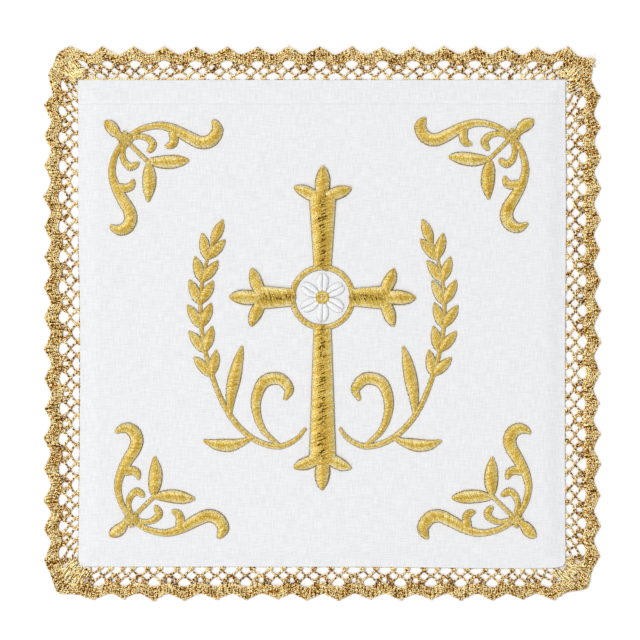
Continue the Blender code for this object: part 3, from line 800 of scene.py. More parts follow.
def knotCurves(name, knots):
    # threads wound round and round where the corners are gathered
    made = []
    for row in knots:
        places = []
        for step in range(winding["steps"] * row["loops"] + 1):
            turn = 2 * math.pi * step / winding["steps"]
            across = row["wide"] * math.sin(turn)
            across *= winding["least"] + winding["more"] * math.sin(winding["wideRate"] * turn)
            up = row["high"] * math.sin(winding["highRate"] * turn + winding["highStart"])
            up *= winding["least"] + winding["more"] * math.cos(winding["highMore"] * turn)
            level = winding["level"] + winding["sway"] * math.sin(winding["swayRate"] * turn)
            level += winding["brightLevel"] if row["bright"] else 0.0
            places.append(((row["x"] + across) * mm, (row["y"] + up) * mm, level * mm))
        made.append((places, [row["radius"]] * len(places), False))
    return polyCurves(name, made)


def footingCurves(name, threads):
    # the threads that the lace is sewn on with, along the linen's rim
    made = []
    for row in threads:
        outX, outY = outward[row["side"]]
        count = round(abs(row["end"] - row["start"]) / sewing["step"])
        places = []
        for step in range(count + 1):
            along = (row["start"] + (row["end"] - row["start"]) * step / count) * mm
            phase = math.pi * step / row["pitch"] + sewing["phase"] * uneven(step, 3)
            dive = row["dive"] * mm * (0.5 + 0.5 * math.sin(phase))
            push = sewing["beside"] + sewing["waver"] * uneven(step, 5) - sewing["tuck"] * dive
            level = (row["level"] + sewing["bob"] * uneven(step, 6)) * mm - dive
            spot = rimPoint(row["side"], along)
            places.append((spot.x + outX * push, spot.y + outY * push, level))
        made.append((places, [row["radius"]] * len(places), False))
    return polyCurves(name, made)


def footingTree(name, section, material):
    tree = newTree(name, ("Step", "Twist Pitch"))
    start = addNode(tree, "NodeGroupInput").outputs
    sweepStrands(tree, start["Geometry"], start["Step"], start["Twist Pitch"], section, material)
    return tree


# for each thread: dark is its painted shade, bright its painted highlight, middle its own colour
laceShades = {"plyPitch": 0.72 * mm, "twistLightAndShadeShare": 0.12, "glitterScale": 1700.0, "dark": (0.1, 0.024, 0.001),
              "middle": (0.76, 0.38, 0.035), "bright": (1.0, 0.9, 0.52)}
knotShades = {"plyPitch": 0.72 * mm, "twistLightAndShadeShare": 0.1, "glitterScale": 1700.0, "dark": (0.5, 0.24, 0.01),
              "middle": (0.86, 0.56, 0.04), "bright": (1.0, 0.82, 0.3)}
sewingShades = {"plyPitch": 1.3 * mm, "twistLightAndShadeShare": 0.3, "glitterScale": 1200.0, "dark": (0.07, 0.035, 0.015),
                "middle": (0.28, 0.17, 0.08), "bright": (0.8, 0.68, 0.45)}
laceLook = {
    "deepShadeShare": 320.0,
    "middleHeight": 0.55 * mm,
    "glitterDetail": 1.5,
    "blotchScale": 420.0,
    "blotchDetail": 1.0,
    "blotchShare": 0.5,
    "lowEnds": (0.36, 0.5),
    "highEnds": (0.51, 0.64),
    "bump": 0.8,
    "bumpDistance": 0.12 * mm,
    "surface": {"Metallic": 0.55, "Roughness": 0.4, "Specular IOR Level": 0.1},
}
plySection = ((1.0, 0.0), (0.45, 0.6), (-0.45, 0.6), (-1.0, 0.0), (-0.45, -0.6), (0.45, -0.6))


def laceMaterial(name, gold):
    # twisted thread with painted glints, painted highlight and shade along its twist, and painted shade where
    # it lies deeper
    material, tree, shader = newMaterial(name)
    around = splitVector(tree, paintedOn(tree, "around")["Vector"])
    angle = mathNode(tree, "ARCTAN2", around[1], around[0])
    turns = 2 * math.pi / gold["plyPitch"]
    ply = timesPlus(tree, paintedOn(tree, "along")["Fac"], turns, angle)
    place = addNode(tree, "ShaderNodeTexCoord").outputs["Object"]
    glitter = noiseOf(tree, place, gold["glitterScale"], laceLook["glitterDetail"])[0]
    blotch = noiseOf(tree, place, laceLook["blotchScale"], laceLook["blotchDetail"])[0]
    # painted shade: the lower a thread lies, the darker it is painted
    depth = minus(tree, splitVector(tree, place)[2], laceLook["middleHeight"])
    # painted highlight and shade in bands along the twist, added to the glitter noise, which paints glints
    # and is also the bump
    tone = timesPlus(tree, mathNode(tree, "SINE", ply), gold["twistLightAndShadeShare"], glitter)
    tone = timesPlus(tree, depth, laceLook["deepShadeShare"], tone)
    blotch = minus(tree, blotch, 0.5)
    tone = timesPlus(tree, blotch, laceLook["blotchShare"], tone)
    colour = mixColours(tree, ranged(tree, tone, laceLook["lowEnds"]), gold["dark"], gold["middle"])
    colour = mixColours(tree, ranged(tree, tone, laceLook["highEnds"]), colour, gold["bright"])
    finishMaterial(tree, shader, colour, tone, laceLook)
    return material


def makeLace():
    stations = laceStations()
    material = laceMaterial("laceGold", laceShades)
    section = profileCurve("laceSection", plySection)
    repeat = repeatCurves("laceRepeat", laceStrands)
    cornerRepeat = repeatCurves("cornerRepeat", cornerStrands)
    tree = laceTree("laceStrands", repeat, len(laceStrands), section, material)
    cornerTree = laceTree("cornerStrands", cornerRepeat, len(cornerStrands), section, material)
    pieces = []
    first = 0

    def addLength(name, useTree, start, count):
        guide = laceGuide(name + "Guide", stations, start, count)
        pieces.append(bakeTree(name, guide, useTree, {
            "First": float(start), "Repeats": count, "Wander": lace["wander"], "Step": lace["step"],
            "Twist Pitch": lace["twistPitch"], "Seed": lace["seed"]}))

    for side in laceSides:
        addLength("lace" + side["name"].title(), tree, first, side["tips"])
        addLength("laceCornerAfter" + side["name"].title(), cornerTree, first + side["tips"], 1)
        first += side["tips"] + 1
    dullRows = [row for row in cornerKnots if not row["bright"]]
    brightRows = [row for row in cornerKnots if row["bright"]]
    sewingMaterial = laceMaterial("sewingThread", sewingShades)
    extras = (
        ("laceFooting", footingCurves("footingPaths", footingThreads), material),
        ("laceSewing", footingCurves("sewingPaths", sewingThreads), sewingMaterial),
        ("cornerKnots", knotCurves("knotPaths", dullRows), material),
        ("brightKnot", knotCurves("brightPaths", brightRows), laceMaterial("knotGold", knotShades)),
    )
    for name, paths, shade in extras:
        pieces.append(bakeTree(name, paths, footingTree(name, section, shade), {
            "Step": lace["step"], "Twist Pitch": lace["twistPitch"]}))
    for helper in (section, repeat, cornerRepeat):
        bpy.data.objects.remove(helper, do_unlink=True)
    return pieces


# Satin embroidery

satin = {
    "pitch": 0.34 * mm,
    "threadWidth": 1.35,
    "lean": math.radians(22),
    "ragged": 0.05,
    "seamRagged": 0.19,
    "seamOverlap": 0.54,
    "holeSmall": 0.11 * mm,
    "holeLarge": 0.2 * mm,
    "holeShare": 0.6,
    "seamHole": 0.9,
    "seamHoleSpread": 0.32,
    "seamHoleSize": 0.75,
    "seamHoleLevel": 1.16,
    "paintedSheenShare": 0.45,
    "stray": 0.04 * mm,
    "splitFrom": 2.6 * mm,
    "base": 1.60 * mm,
    "lowRise": 0.24 * mm,
    "rise": 0.28,
    "wideRise": 0.2,
    "pathSteps": 8,
    "stemLift": 0.05,
    "budLift": 0.08,
}
scrollKnots = table(
    "name node x y openX openY",
    ("TopLeft", "corner_scroll_tl", -61.7, 57.5, 1, -1),
    ("TopRight", "corner_scroll_tr", 59.3, 58.4, -1, -1),
    ("BottomLeft", "corner_scroll_bl", -59.8, -61.4, 1, 1),
    ("BottomRight", "corner_scroll_br", 60.3, -61.4, -1, 1),
)
scrollArm = ((0.2, -0.2, 1.7), (5.0, -3.0, 2.0), (10.6, -4.2, 2.4), (15.4, -3.0, 3.2), (19.8, -0.6, 4.0),
             (23.8, 1.1, 4.3), (27.0, 0.3, 4.4), (28.8, -2.5, 4.0), (28.3, -4.4, 2.9), (27.4, -5.7, 1.2))
scrollSideArm = ((0.2, -0.2, 1.7), (5.0, -3.0, 2.0), (10.2, -4.1, 2.4), (14.8, -3.0, 3.1), (18.9, -0.8, 3.8),
                 (22.0, 1.1, 4.2), (24.8, 1.8, 4.4), (27.3, 0.8, 4.4), (28.5, -1.3, 3.7), (28.1, -3.3, 2.5),
                 (27.2, -4.6, 1.2))
scrollCurl = ((1.6, 0.0, 1.4), (4.6, -0.8, 1.8), (7.2, -0.1, 2.2), (8.7, 1.6, 2.6), (8.1, 3.2, 2.3),
              (7.3, 4.0, 1.2))
scrollSpur = ((15.4, -2.3, 3.6), (15.3, -0.9, 3.1), (15.3, 0.6, 2.9), (14.5, 1.9, 2.7), (12.8, 2.5, 1.2))
scrollLeaf = ((7.6, 6.9, 1.2), (8.8, 7.1, 2.7), (10.8, 7.3, 3.9), (13.5, 7.2, 4.6), (16.2, 6.9, 4.1),
              (18.2, 6.7, 2.7), (19.7, 6.6, 1.1))
scrollSideLeaf = ((7.6, 7.1, 1.2), (8.9, 7.3, 3.0), (11.3, 7.5, 4.4), (14.0, 7.6, 4.6), (16.6, 7.5, 3.4),
                  (19.4, 7.3, 1.1))
scrollStem = ((0.0, 0.0, 1.4), (3.8, 3.9, 1.4), (7.6, 7.5, 1.4))
scrollBud = ((-6.3, -5.2, 1.2), (-5.4, -4.5, 3.1), (-4.25, -3.6, 4.1), (-3.1, -2.5, 3.7), (-2.05, -1.35, 2.5),
             (0.3, 0.4, 2.6), (1.5, 1.4, 1.6))
knotBands = (
    {"lift": 0.32, "rows": ((-2.1, -0.5, 1.0), (0.5, 2.1, 1.0))},
    {"lift": 0.46, "rows": ((-1.4, -1.4, 1.0), (1.5, 1.5, 1.0))},
    {"lift": 0.32, "rows": ((-0.5, -2.1, 1.0), (2.1, 0.5, 1.0))},
    {"lift": 0.5, "rows": ((-2.0, 0.5, 0.8), (0.5, -2.0, 0.8))},
    {"lift": 0.4, "rows": ((-1.4, 1.4, 0.8), (1.4, -1.4, 0.8))},
    {"lift": 0.5, "rows": ((-0.5, 2.0, 0.8), (2.0, -0.5, 0.8))},
)
ring = {"x": 0.0, "y": 8.0, "radius": 9.4, "width": 1.9, "steps": 72}
crossArms = table(
    "x y end inner outer",
    (0.0, 1.0, 31.5, 5.6, 8.6),
    (1.0, 0.0, 19.5, 5.6, 7.6),
    (0.0, -1.0, 50.5, 5.6, 8.6),
    (-1.0, 0.0, 19.5, 5.6, 7.6),
)
budOverlap = 1.8
budLift = 0.18
budTip = ((0.0, 0.0, 2.6), (0.0, 3.6, 4.6), (0.0, 6.6, 5.0), (0.0, 9.4, 3.4), (0.0, 11.2, 0.9))
budSide = ((0.0, 1.2, 2.6), (2.8, 2.2, 4.0), (5.4, 3.3, 4.2), (7.6, 4.1, 2.6), (8.8, 4.5, 0.9))
wheatStalk = ((5.4, -33.0, 1.2), (8.6, -36.6, 1.6), (14.5, -38.6, 1.9), (22.5, -35.6, 1.9),
              (29.5, -28.0, 1.8), (34.5, -16.5, 1.6), (37.6, -3.5, 1.4), (38.0, 9.0, 1.2), (36.0, 20.0, 1.0),
              (33.4, 27.0, 0.9))
wheatScrolls = (
    ((13.5, -38.3, 1.3), (18.8, -33.0, 2.2), (20.8, -25.4, 3.2), (18.6, -18.8, 4.1), (13.6, -17.4, 4.1),
     (10.4, -20.6, 3.2), (11.6, -23.8, 1.3)),
    ((21.8, -35.7, 1.2), (25.4, -37.3, 2.8), (29.4, -38.2, 4.3), (33.4, -38.0, 3.4), (37.0, -36.8, 0.9)),
    ((28.9, -28.6, 1.2), (28.6, -23.0, 3.3), (27.6, -17.5, 4.4), (26.4, -12.0, 3.4), (25.2, -7.4, 0.9)),
)
grain = {"first": 0.56, "last": 0.96, "pairs": 6, "length": 8.0, "width": 3.6, "lean": math.radians(27),
         "lift": 0.05, "stalkSteps": 12}
grainSection = ((0.0, 0.3), (0.35, 0.95), (0.7, 0.85), (1.0, 0.2))
flower = {"petals": 6, "eyeRing": 1.45, "eyeWidth": 1.8, "eyeRingLift": 0.15, "eyeHalf": 0.6, "eyeFill": 1.6,
          "eyeLift": 0.3}
# one lobe of a petal: distance out, distance from the petal's middle line, and width, in mm
petalLobe = ((1.9, 0.5, 1.2), (3.2, 0.8, 1.7), (4.8, 0.98, 2.1), (6.2, 0.85, 1.8), (7.1, 0.5, 1.1))
# stations of a thread: across, up, thickness, nearness of a needle hole whose shade is painted, and light and
# shade painted on its bend
threadRows = (
    (-1.0, -0.1, 0.7, 1.0, 0.0), (-0.94, 0.25, 0.9, 0.8, 0.5), (-0.84, 0.52, 1.0, 0.05, 1.0),
    (-0.5, 0.85, 1.0, 0.0, 0.15), (0.0, 1.0, 1.0, 0.0, -0.5), (0.5, 0.85, 1.0, 0.0, 0.15),
    (0.84, 0.52, 1.0, 0.05, 1.0), (0.94, 0.25, 0.9, 0.8, 0.5), (1.0, -0.1, 0.7, 1.0, 0.0))
seamThreadRows = (
    (-1.0, -0.1, 0.7, 1.0, 0.0), (-0.94, 0.36, 0.9, 0.7, 0.5), (-0.8, 0.7, 1.0, 0.05, 1.0),
    (-0.4, 0.92, 1.0, 0.0, 0.1), (0.3, 1.0, 1.0, 0.0, -0.5), (0.8, 1.0, 0.95, 0.0, -0.6),
    (0.9, 1.05, 0.85, 0.7, -0.2), (1.0, 0.8, 0.6, 0.8, 0.0))
paddingSection = ((-0.94, -0.2), (0.94, -0.2), (0.82, 0.3), (0.5, 0.66), (0.0, 0.82), (-0.5, 0.66),
                  (-0.82, 0.3))
# the section of a thread, and the dome of a needle hole
threadSection = {"sides": 5, "halfWide": 0.5, "halfHigh": 0.2}
holeShape = {"segments": 6, "radius1": 1.0, "radius2": 0.5, "depth": 0.5}


def strokeCurves(name, strokes):
    # strokes are lists of x, y and width in mm, with a lift above the linen where there is a fourth number
    made = []
    for stroke in strokes:
        rows = [(*row, 0.0) if len(row) == 3 else row for row in stroke["rows"]]
        path = rows if stroke["closed"] else smoothPath(rows, satin["pathSteps"])
        made.append(([(x * mm, y * mm, lift * mm) for x, y, width, lift in path],
                     [width * mm / 2 for x, y, width, lift in path], stroke["closed"]))
    return polyCurves(name, made, twist="Z_UP")


def stitchThread(name, stations):
    # one thread over unit width and height, from its stations
    work = bmesh.new()
    sides = threadSection["sides"]
    rings = []
    for across, up, size, edge, shoulderLight in stations:
        rings.append([])
        for side in range(sides):
            angle = 2 * math.pi * side / sides + math.pi / 2
            beside = threadSection["halfWide"] * size * math.cos(angle)
            over = up + threadSection["halfHigh"] * size * math.sin(angle)
            rings[-1].append(work.verts.new((beside, across, over)))
    for low, high in zip(rings, rings[1:]):
        for side in range(sides):
            following = (side + 1) % sides
            work.faces.new((low[side], low[following], high[following], high[side]))
    work.faces.new(rings[0][::-1])
    work.faces.new(rings[-1])
    bmesh.ops.recalc_face_normals(work, faces=work.faces)
    thread = meshObject(name, work)
    # edge marks the painted needle-hole shade, and the fifth column the light and shade painted on the bend
    for key, column in (("edge", 3), ("shoulderLight", 4)):
        writeValues(thread.data, key, [row[column] for row in stations for side in range(sides)])
    return thread


def needleHole(name):
    # a low dome of unit radius, coloured as the painted shade in a needle hole
    work = bmesh.new()
    bmesh.ops.create_cone(work, cap_ends=True, **holeShape)
    hole = meshObject(name, work, smooth=False)
    writeValues(hole.data, "edge", [1.0] * len(hole.data.vertices))
    return hole


def satinTree(name, thread, seamThread, hole, section, material):
    # lays threads across each stroke; wide strokes get two rows that meet in a ragged seam
    tree = newTree(name, ("Pitch", "Lean", "Ragged", "Seam Ragged", "Split From", "Base", "Low Rise", "Rise",
                          "Wide Rise"), ("Seed",))
    start = addNode(tree, "NodeGroupInput").outputs
    radius = addNode(tree, "GeometryNodeInputRadius").outputs[0]
    strokes = storeValue(tree, start["Geometry"], "halfWidth", radius)
    strokes = storeValue(tree, strokes, "lift", splitVector(tree, placeOf(tree))[2])
    halfWidth = namedValue(tree, "halfWidth")
    lift = namedValue(tree, "lift")
    isWide = compareNode(tree, "GREATER_THAN", halfWidth, start["Split From"])
    share = addNode(tree, "GeometryNodeSwitch", {"Switch": isWide, "False": start["Rise"],
                                                 "True": start["Wide Rise"]}, input_type="FLOAT").outputs[0]
    height = timesPlus(tree, halfWidth, share, start["Low Rise"])
    even = addNode(tree, "GeometryNodeResampleCurve", {"Curve": strokes, "Length": start["Pitch"]},
                   mode="LENGTH")
    points = addNode(tree, "GeometryNodeCurveToPoints", {"Curve": even.outputs[0]}, mode="EVALUATED").outputs
    tangent = splitVector(tree, points["Tangent"])
    heading = mathNode(tree, "ARCTAN2", tangent[1], tangent[0])

    def randomValue(low, high, shift):
        # each draw has its own shift of the seed
        seed = plus(tree, start["Seed"], shift)
        node = addNode(tree, "FunctionNodeRandomValue", {"Seed": seed}, data_type="FLOAT")
        sockets = [item for item in node.inputs if item.enabled and item.name in ("Min", "Max")]
        sockets[0].default_value = low
        sockets[1].default_value = high
        return [item for item in node.outputs if item.enabled][0]

    # the ends of a thread stray by the same small amount on narrow and wide strokes
    astray = divided(tree, randomValue(-satin["stray"], satin["stray"], 1), halfWidth)
    turn = plus(tree, plus(tree, heading, start["Lean"]), astray)
    tilt = divided(tree, randomValue(-satin["stray"], satin["stray"], 2), halfWidth)
    sine = mathNode(tree, "SINE", turn)
    cosine = mathNode(tree, "COSINE", turn)
    raggedEnd = timesPlus(tree, randomValue(-1.0, 1.0, 3), start["Ragged"], 1.0)
    threadWide = times(tree, start["Pitch"], satin["threadWidth"])
    ground = plus(tree, start["Base"], lift)
    joined = addNode(tree, "GeometryNodeJoinGeometry")

    def place(source, selection, shape, tone, **settings):
        placed = addNode(tree, "GeometryNodeInstanceOnPoints", {
            "Points": source, "Selection": selection, "Instance": shapeOf(tree, shape), **settings})
        toned = storeValue(tree, placed.outputs[0], "tone", tone, domain="INSTANCE")
        tree.links.new(toned, joined.inputs[0])

    def addRow(source, selection, shape, turned, wide, seed):
        rotation = joinVector(tree, tilt, z=turned)
        rotation = addNode(tree, "FunctionNodeEulerToRotation", {0: rotation}).outputs[0]
        # painted sheen: threads that run up and down the cloth are painted paler, as if they caught the light
        paintedSheen = mathNode(tree, "ABSOLUTE", mathNode(tree, "COSINE", turned))
        tone = timesPlus(tree, paintedSheen, satin["paintedSheenShare"], randomValue(0.0, 1.0, seed))
        size = joinVector(tree, threadWide, wide, height)
        place(source, selection, shape, tone, Rotation=rotation, Scale=size)

    def onGround(source, shift=None):
        spot = splitVector(tree, placeOf(tree))
        flatSpot = joinVector(tree, spot[0], spot[1], ground)
        return movePoints(tree, source, vectorNode(tree, "ADD", flatSpot, shift) if shift else flatSpot)

    isNarrow = addNode(tree, "FunctionNodeBooleanMath", {0: isWide}, operation="NOT").outputs[0]
    wide = times(tree, halfWidth, raggedEnd)
    addRow(onGround(points["Points"]), isNarrow, thread, turn, wide, 4)
    for side in (-1.0, 1.0):
        # a thread reaches from the stroke's edge to a ragged end near its middle
        reach = times(tree, randomValue(-1.0, 1.0, 5 + side), start["Seam Ragged"])
        wide = times(tree, halfWidth, plus(tree, reach, satin["seamOverlap"]))
        toEdge = times(tree, halfWidth, side)
        back = times(tree, wide, side)
        inX, inY = (times(tree, way, back) for way in (sine, cosine))
        outX, outY = (times(tree, tangent[axis], toEdge) for axis in (1, 0))
        x = minus(tree, inX, outX)
        y = minus(tree, outY, inY)
        turned = plus(tree, turn, math.pi) if side > 0 else turn
        row = onGround(points["Points"], joinVector(tree, x, y))
        addRow(row, isWide, seamThread, turned, wide, 8 + side)

    def addHoles(reach, level, share, selection, scale, seed):
        spot = splitVector(tree, placeOf(tree))
        x = minus(tree, spot[0], times(tree, sine, reach))
        y = plus(tree, spot[1], times(tree, cosine, reach))
        source = movePoints(tree, points["Points"], joinVector(tree, x, y, level))
        chosen = compareNode(tree, "LESS_THAN", randomValue(0.0, 1.0, seed), share)
        if selection:
            both = addNode(tree, "FunctionNodeBooleanMath", {0: chosen, 1: selection}, operation="AND")
            chosen = both.outputs[0]
        size = randomValue(scale * satin["holeSmall"], scale * satin["holeLarge"], seed + 3)
        place(source, chosen, hole, 1.0, Scale=size)

    # domes of painted needle-hole shade beside both edges, and where the two rows of a wide stroke meet
    onTop = timesPlus(tree, height, satin["seamHoleLevel"], ground)
    for side, seed in ((-1.0, 30), (1.0, 31)):
        addHoles(times(tree, halfWidth, side), ground, satin["holeShare"], None, 1.0, seed)
        spread = randomValue(-satin["seamHoleSpread"], satin["seamHoleSpread"], seed + 8)
        addHoles(times(tree, halfWidth, spread), onTop, satin["seamHole"], isWide,
                 satin["seamHoleSize"], seed + 12)
    # the padding under the threads
    padding = addNode(tree, "GeometryNodeCurveToMesh", {
        "Curve": strokes, "Profile Curve": shapeOf(tree, section), "Scale": halfWidth, "Fill Caps": True})
    spot = splitVector(tree, placeOf(tree))
    up = divided(tree, minus(tree, spot[2], lift), halfWidth)
    level = timesPlus(tree, up, height, ground)
    padding = movePoints(tree, padding.outputs[0], joinVector(tree, spot[0], spot[1], level))
    tree.links.new(storeValue(tree, padding, "edge", 0.0), joined.inputs[0])
    endTree(tree, joined.outputs[0], material)
    return tree


stitchLook = {
    "fleckScale": 3000.0,
    "fleckDetail": 2.0,
    "fleckShare": 1.5,
    "fleckShift": -0.47,
    "toneShare": 0.24,
    "blotchScale": 160.0,
    "blotchDetail": 1.0,
    "blotchShare": 0.2,
    "shoulderLightShare": 0.27,
    "lowEnds": (0.3, 0.62),
    "highEnds": (0.64, 0.95),
    "holedEnds": (0.5, 0.62),
    "holedLeast": 0.4,
    "prickScale": 720.0,
    "prickEnds": (0.1, 0.17),
    "prickMost": 0.6,
    "patchEnds": (0.5, 0.56),
    "bump": 0.6,
    "bumpDistance": 0.08 * mm,
}


def stitchMaterial(name, shades, surface):
    material, tree, shader = newMaterial(name)
    look = {**stitchLook, "surface": surface}
    tone = paintedOn(tree, "tone")["Fac"]
    place = addNode(tree, "ShaderNodeTexCoord").outputs["Object"]
    fleck = noiseOf(tree, place, look["fleckScale"], look["fleckDetail"])[0]
    blotch = noiseOf(tree, place, look["blotchScale"], look["blotchDetail"])[0]
    # the colour runs from low, the painted shade, to high, the painted highlight: fleck noise paints small
    # glints and is also the bump, tone and blotches vary at random with a painted sheen, and the bends carry
    # painted light and shade
    mixed = timesPlus(tree, fleck, look["fleckShare"], look["fleckShift"])
    for value, share in ((tone, look["toneShare"]), (blotch, look["blotchShare"]),
                         (paintedOn(tree, "shoulderLight")["Fac"], look["shoulderLightShare"])):
        mixed = timesPlus(tree, value, share, mixed)
    colour = mixColours(tree, ranged(tree, mixed, look["lowEnds"]), shades["low"], shades["middle"])
    colour = mixColours(tree, ranged(tree, mixed, look["highEnds"]), colour, shades["high"])
    # every third thread or so shows the painted shade of a needle hole at its ends, and a few pricks show on
    # the face as painted dark spots
    holed = ranged(tree, tone, look["holedEnds"], look["holedLeast"])
    holes = times(tree, paintedOn(tree, "edge")["Fac"], holed)
    cells = addNode(tree, "ShaderNodeTexVoronoi", {"Vector": place, "Scale": look["prickScale"]})
    pricks = ranged(tree, cells.outputs["Distance"], look["prickEnds"], look["prickMost"], 0.0)
    pricks = times(tree, pricks, ranged(tree, blotch, look["patchEnds"]))
    colour = mixColours(tree, mathNode(tree, "MAXIMUM", holes, pricks), colour, shades["hole"])
    finishMaterial(tree, shader, colour, fleck, look)
    return material


# for each thread colour: low is its painted shade, high its painted highlight, middle its own colour, hole
# the painted shade in needle holes
goldShades = {"low": (0.5, 0.285, 0.02), "middle": (0.78, 0.59, 0.115), "high": (0.94, 0.88, 0.66),
              "hole": (0.19, 0.1, 0.012)}
goldSurface = {"Metallic": 0.3, "Roughness": 0.36}
whiteShades = {"low": (0.84, 0.845, 0.86), "middle": (0.92, 0.925, 0.935), "high": (1.0, 1.0, 1.0),
               "hole": (0.6, 0.6, 0.61)}
whiteSurface = {"Metallic": 0.0, "Roughness": 0.5}


def plainStroke(rows, closed=False):
    return {"rows": rows, "closed": closed}


def scrollStrokes(corner):
    strokes = []

    def put(rows, swapped, lift):
        placed = []
        for u, v, width in rows:
            a, b = (v, u) if swapped else (u, v)
            placed.append((corner["x"] + a * corner["openX"], corner["y"] + b * corner["openY"], width, lift))
        strokes.append(plainStroke(placed))

    for rows in (scrollArm, scrollCurl, scrollSpur, scrollLeaf):
        put(rows, False, 0.0)
    for rows in (scrollSideArm, scrollCurl, scrollSpur, scrollSideLeaf):
        put(rows, True, 0.0)
    put(scrollStem, False, satin["stemLift"])
    put(scrollBud, False, satin["budLift"])
    for band in knotBands:
        put(band["rows"], False, band["lift"])
    return strokes


def armPoint(arm, across, along, *rest):
    # from distances across and along an arm of the cross to its place on the linen
    x = ring["x"] + arm["x"] * along + arm["y"] * across
    y = ring["y"] + arm["y"] * along - arm["x"] * across
    return (x, y, *rest)


def crossStrokes():
    strokes = [plainStroke(ringRows(ring["radius"], ring["width"]), True)]
    for arm in crossArms:
        strokes.append(plainStroke([armPoint(arm, 0.0, ring["radius"], arm["inner"]),
                                    armPoint(arm, 0.0, arm["end"], arm["outer"])]))
        budFrom = arm["end"] - budOverlap
        for sign in (0, -1, 1):
            strokes.append(plainStroke([armPoint(arm, across * sign, budFrom + along, width, budLift)
                                        for across, along, width in (budSide if sign else budTip)]))
    return strokes


def wheatStrokes(sign):
    strokes = [plainStroke([(x * sign, y, width) for x, y, width in rows])
               for rows in (wheatStalk, *wheatScrolls)]
    fine = smoothPath(wheatStalk, grain["stalkSteps"])
    for pair in range(grain["pairs"] + 1):
        share = grain["first"] + (grain["last"] - grain["first"]) * pair / grain["pairs"]
        index = round(share * (len(fine) - 2))
        rootX, rootY = fine[index][:2]
        heading = math.atan2(fine[index + 1][1] - rootY, fine[index + 1][0] - rootX)
        for lean in ((-grain["lean"], grain["lean"]) if pair < grain["pairs"] else (0.0,)):
            rows = []
            for part, thick in grainSection:
                x = rootX + math.cos(heading + lean) * part * grain["length"]
                y = rootY + math.sin(heading + lean) * part * grain["length"]
                rows.append((x * sign, y, thick * grain["width"], grain["lift"] * (pair % 2)))
            strokes.append(plainStroke(rows))
    return strokes


def petalStrokes():
    # two lobes a petal, with the groove between them
    strokes = []
    for petal in range(flower["petals"]):
        angle = 2 * math.pi * petal / flower["petals"] + math.pi / 2
        for lobe in (-1, 1):
            rows = []
            for out, beside, width in petalLobe:
                rows.append((ring["x"] + out * math.cos(angle) - lobe * beside * math.sin(angle),
                             ring["y"] + out * math.sin(angle) + lobe * beside * math.cos(angle), width))
            strokes.append(plainStroke(rows))
    return strokes


def ringRows(radius, width, lift=0.0):
    rows = []
    for step in range(ring["steps"]):
        angle = 2 * math.pi * step / ring["steps"]
        rows.append((ring["x"] + radius * math.cos(angle), ring["y"] + radius * math.sin(angle), width, lift))
    return rows


def eyeStrokes():
    fill = [(ring["x"], ring["y"] + end, flower["eyeFill"], flower["eyeLift"])
            for end in (-flower["eyeHalf"], flower["eyeHalf"])]
    rim = ringRows(flower["eyeRing"], flower["eyeWidth"], flower["eyeRingLift"])
    return [plainStroke(fill), plainStroke(rim, True)]


def makeEmbroidery():
    gold = stitchMaterial("goldSatin", goldShades, goldSurface)
    white = stitchMaterial("whiteSatin", whiteShades, whiteSurface)
    thread = stitchThread("satinThread", threadRows)
    seamThread = stitchThread("seamThread", seamThreadRows)
    section = profileCurve("paddingSection", paddingSection)
    hole = needleHole("needleHole")
    goldTree = satinTree("goldStitches", thread, seamThread, hole, section, gold)
    whiteTree = satinTree("whiteStitches", thread, seamThread, hole, section, white)
    motifs = [("scroll" + corner["name"], scrollStrokes(corner), corner["node"], "gold_stitch")
              for corner in scrollKnots]
    motifs += [("centreCross", crossStrokes(), "centre_cross", "gold_stitch"),
               ("wheatLeft", wheatStrokes(-1.0), "wheat_spray_left", "gold_stitch"),
               ("wheatRight", wheatStrokes(1.0), "wheat_spray_right", "gold_stitch"),
               ("flowerPetals", petalStrokes(), "flower_petals", "white_stitch"),
               ("flowerEye", eyeStrokes(), "flower_eye", "gold_stitch")]
    pieces = []
    for number, (name, strokes, node, slotName) in enumerate(motifs):
        tree = whiteTree if slotName == "white_stitch" else goldTree
        piece = bakeTree(name, strokeCurves(name + "Strokes", strokes), tree, {
            "Pitch": satin["pitch"], "Lean": satin["lean"], "Ragged": satin["ragged"],
            "Seam Ragged": satin["seamRagged"], "Split From": satin["splitFrom"], "Base": satin["base"],
            "Low Rise": satin["lowRise"], "Rise": satin["rise"], "Wide Rise": satin["wideRise"],
            "Seed": 20 * number})
        pieces.append((piece, node, slotName))
    for helper in (thread, seamThread, hole, section):
        bpy.data.objects.remove(helper, do_unlink=True)
    return pieces


# Camera, floor and light

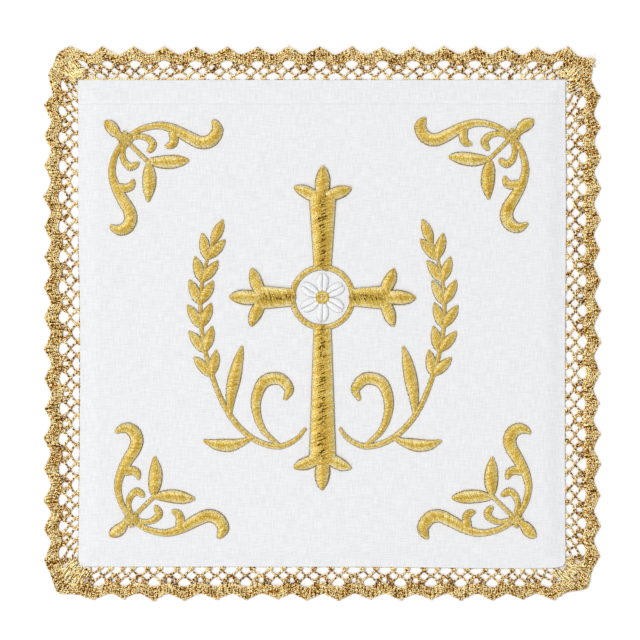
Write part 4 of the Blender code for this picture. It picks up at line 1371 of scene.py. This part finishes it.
view = {"width": 0.2, "height": 0.9, "x": -0.78 * mm, "y": 0.94 * mm, "level": 1.6 * mm, "sensor": 36.0}
floorLook = {"half": 3, "colour": (0.97, 0.97, 0.97, 1.0), "roughness": 0.9, "specular": 0.0}
room = {"colour": (1.0, 1.0, 1.0, 1.0), "strength": 0.46}
lamps = table(
    "name x y z size watts",
    ("softKey", -1.5, 1.2, 3.4, 1.2, 83.0),
    ("lowFill", -0.5, -1.3, 1.3, 1.0, 8.4),
)


def makeStage():
    scene = bpy.context.scene
    camera = bpy.data.cameras.new("photoCamera")
    camera.sensor_width = view["sensor"]
    camera.lens = camera.sensor_width * view["height"] / view["width"]
    cameraObject = bpy.data.objects.new("photoCamera", camera)
    cameraObject.location = (view["x"], view["y"], view["height"] + view["level"])
    scene.collection.objects.link(cameraObject)
    scene.camera = cameraObject
    mesh = bpy.data.meshes.new("floor")
    half = floorLook["half"]
    corners = [(-half, -half, 0), (half, -half, 0), (half, half, 0), (-half, half, 0)]
    mesh.from_pydata(corners, [], [(0, 1, 2, 3)])
    material, tree, shader = newMaterial("paleFloor")
    shader.inputs["Base Color"].default_value = floorLook["colour"]
    shader.inputs["Roughness"].default_value = floorLook["roughness"]
    shader.inputs["Specular IOR Level"].default_value = floorLook["specular"]
    mesh.materials.append(material)
    floor = bpy.data.objects.new("floor", mesh)
    scene.collection.objects.link(floor)
    for row in lamps:
        lamp = bpy.data.lights.new(row["name"], "AREA")
        lamp.energy = row["watts"]
        lamp.size = row["size"]
        lampObject = bpy.data.objects.new(row["name"], lamp)
        lampObject.location = (row["x"], row["y"], row["z"])
        lampObject.rotation_euler = (-lampObject.location).to_track_quat("-Z", "Y").to_euler()
        scene.collection.objects.link(lampObject)
    world = bpy.data.worlds.new("paleRoom")
    world.use_nodes = True
    background = world.node_tree.nodes["Background"]
    background.inputs[0].default_value = room["colour"]
    background.inputs[1].default_value = room["strength"]
    scene.world = world
    scene.view_settings.view_transform = "Standard"


makeStage()
print("stage ready")
linenCloth = makeLinen()
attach(linenCloth, "root")
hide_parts("linen_panel")
lacePieces = makeLace()
for piece in lacePieces:
    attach(piece, "root")
    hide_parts("lace_edging")
print("lace ready")
stitchPieces = makeEmbroidery()
for piece, node, slotName in stitchPieces:
    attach(piece, "root")
    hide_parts(node)
print("embroidery ready")
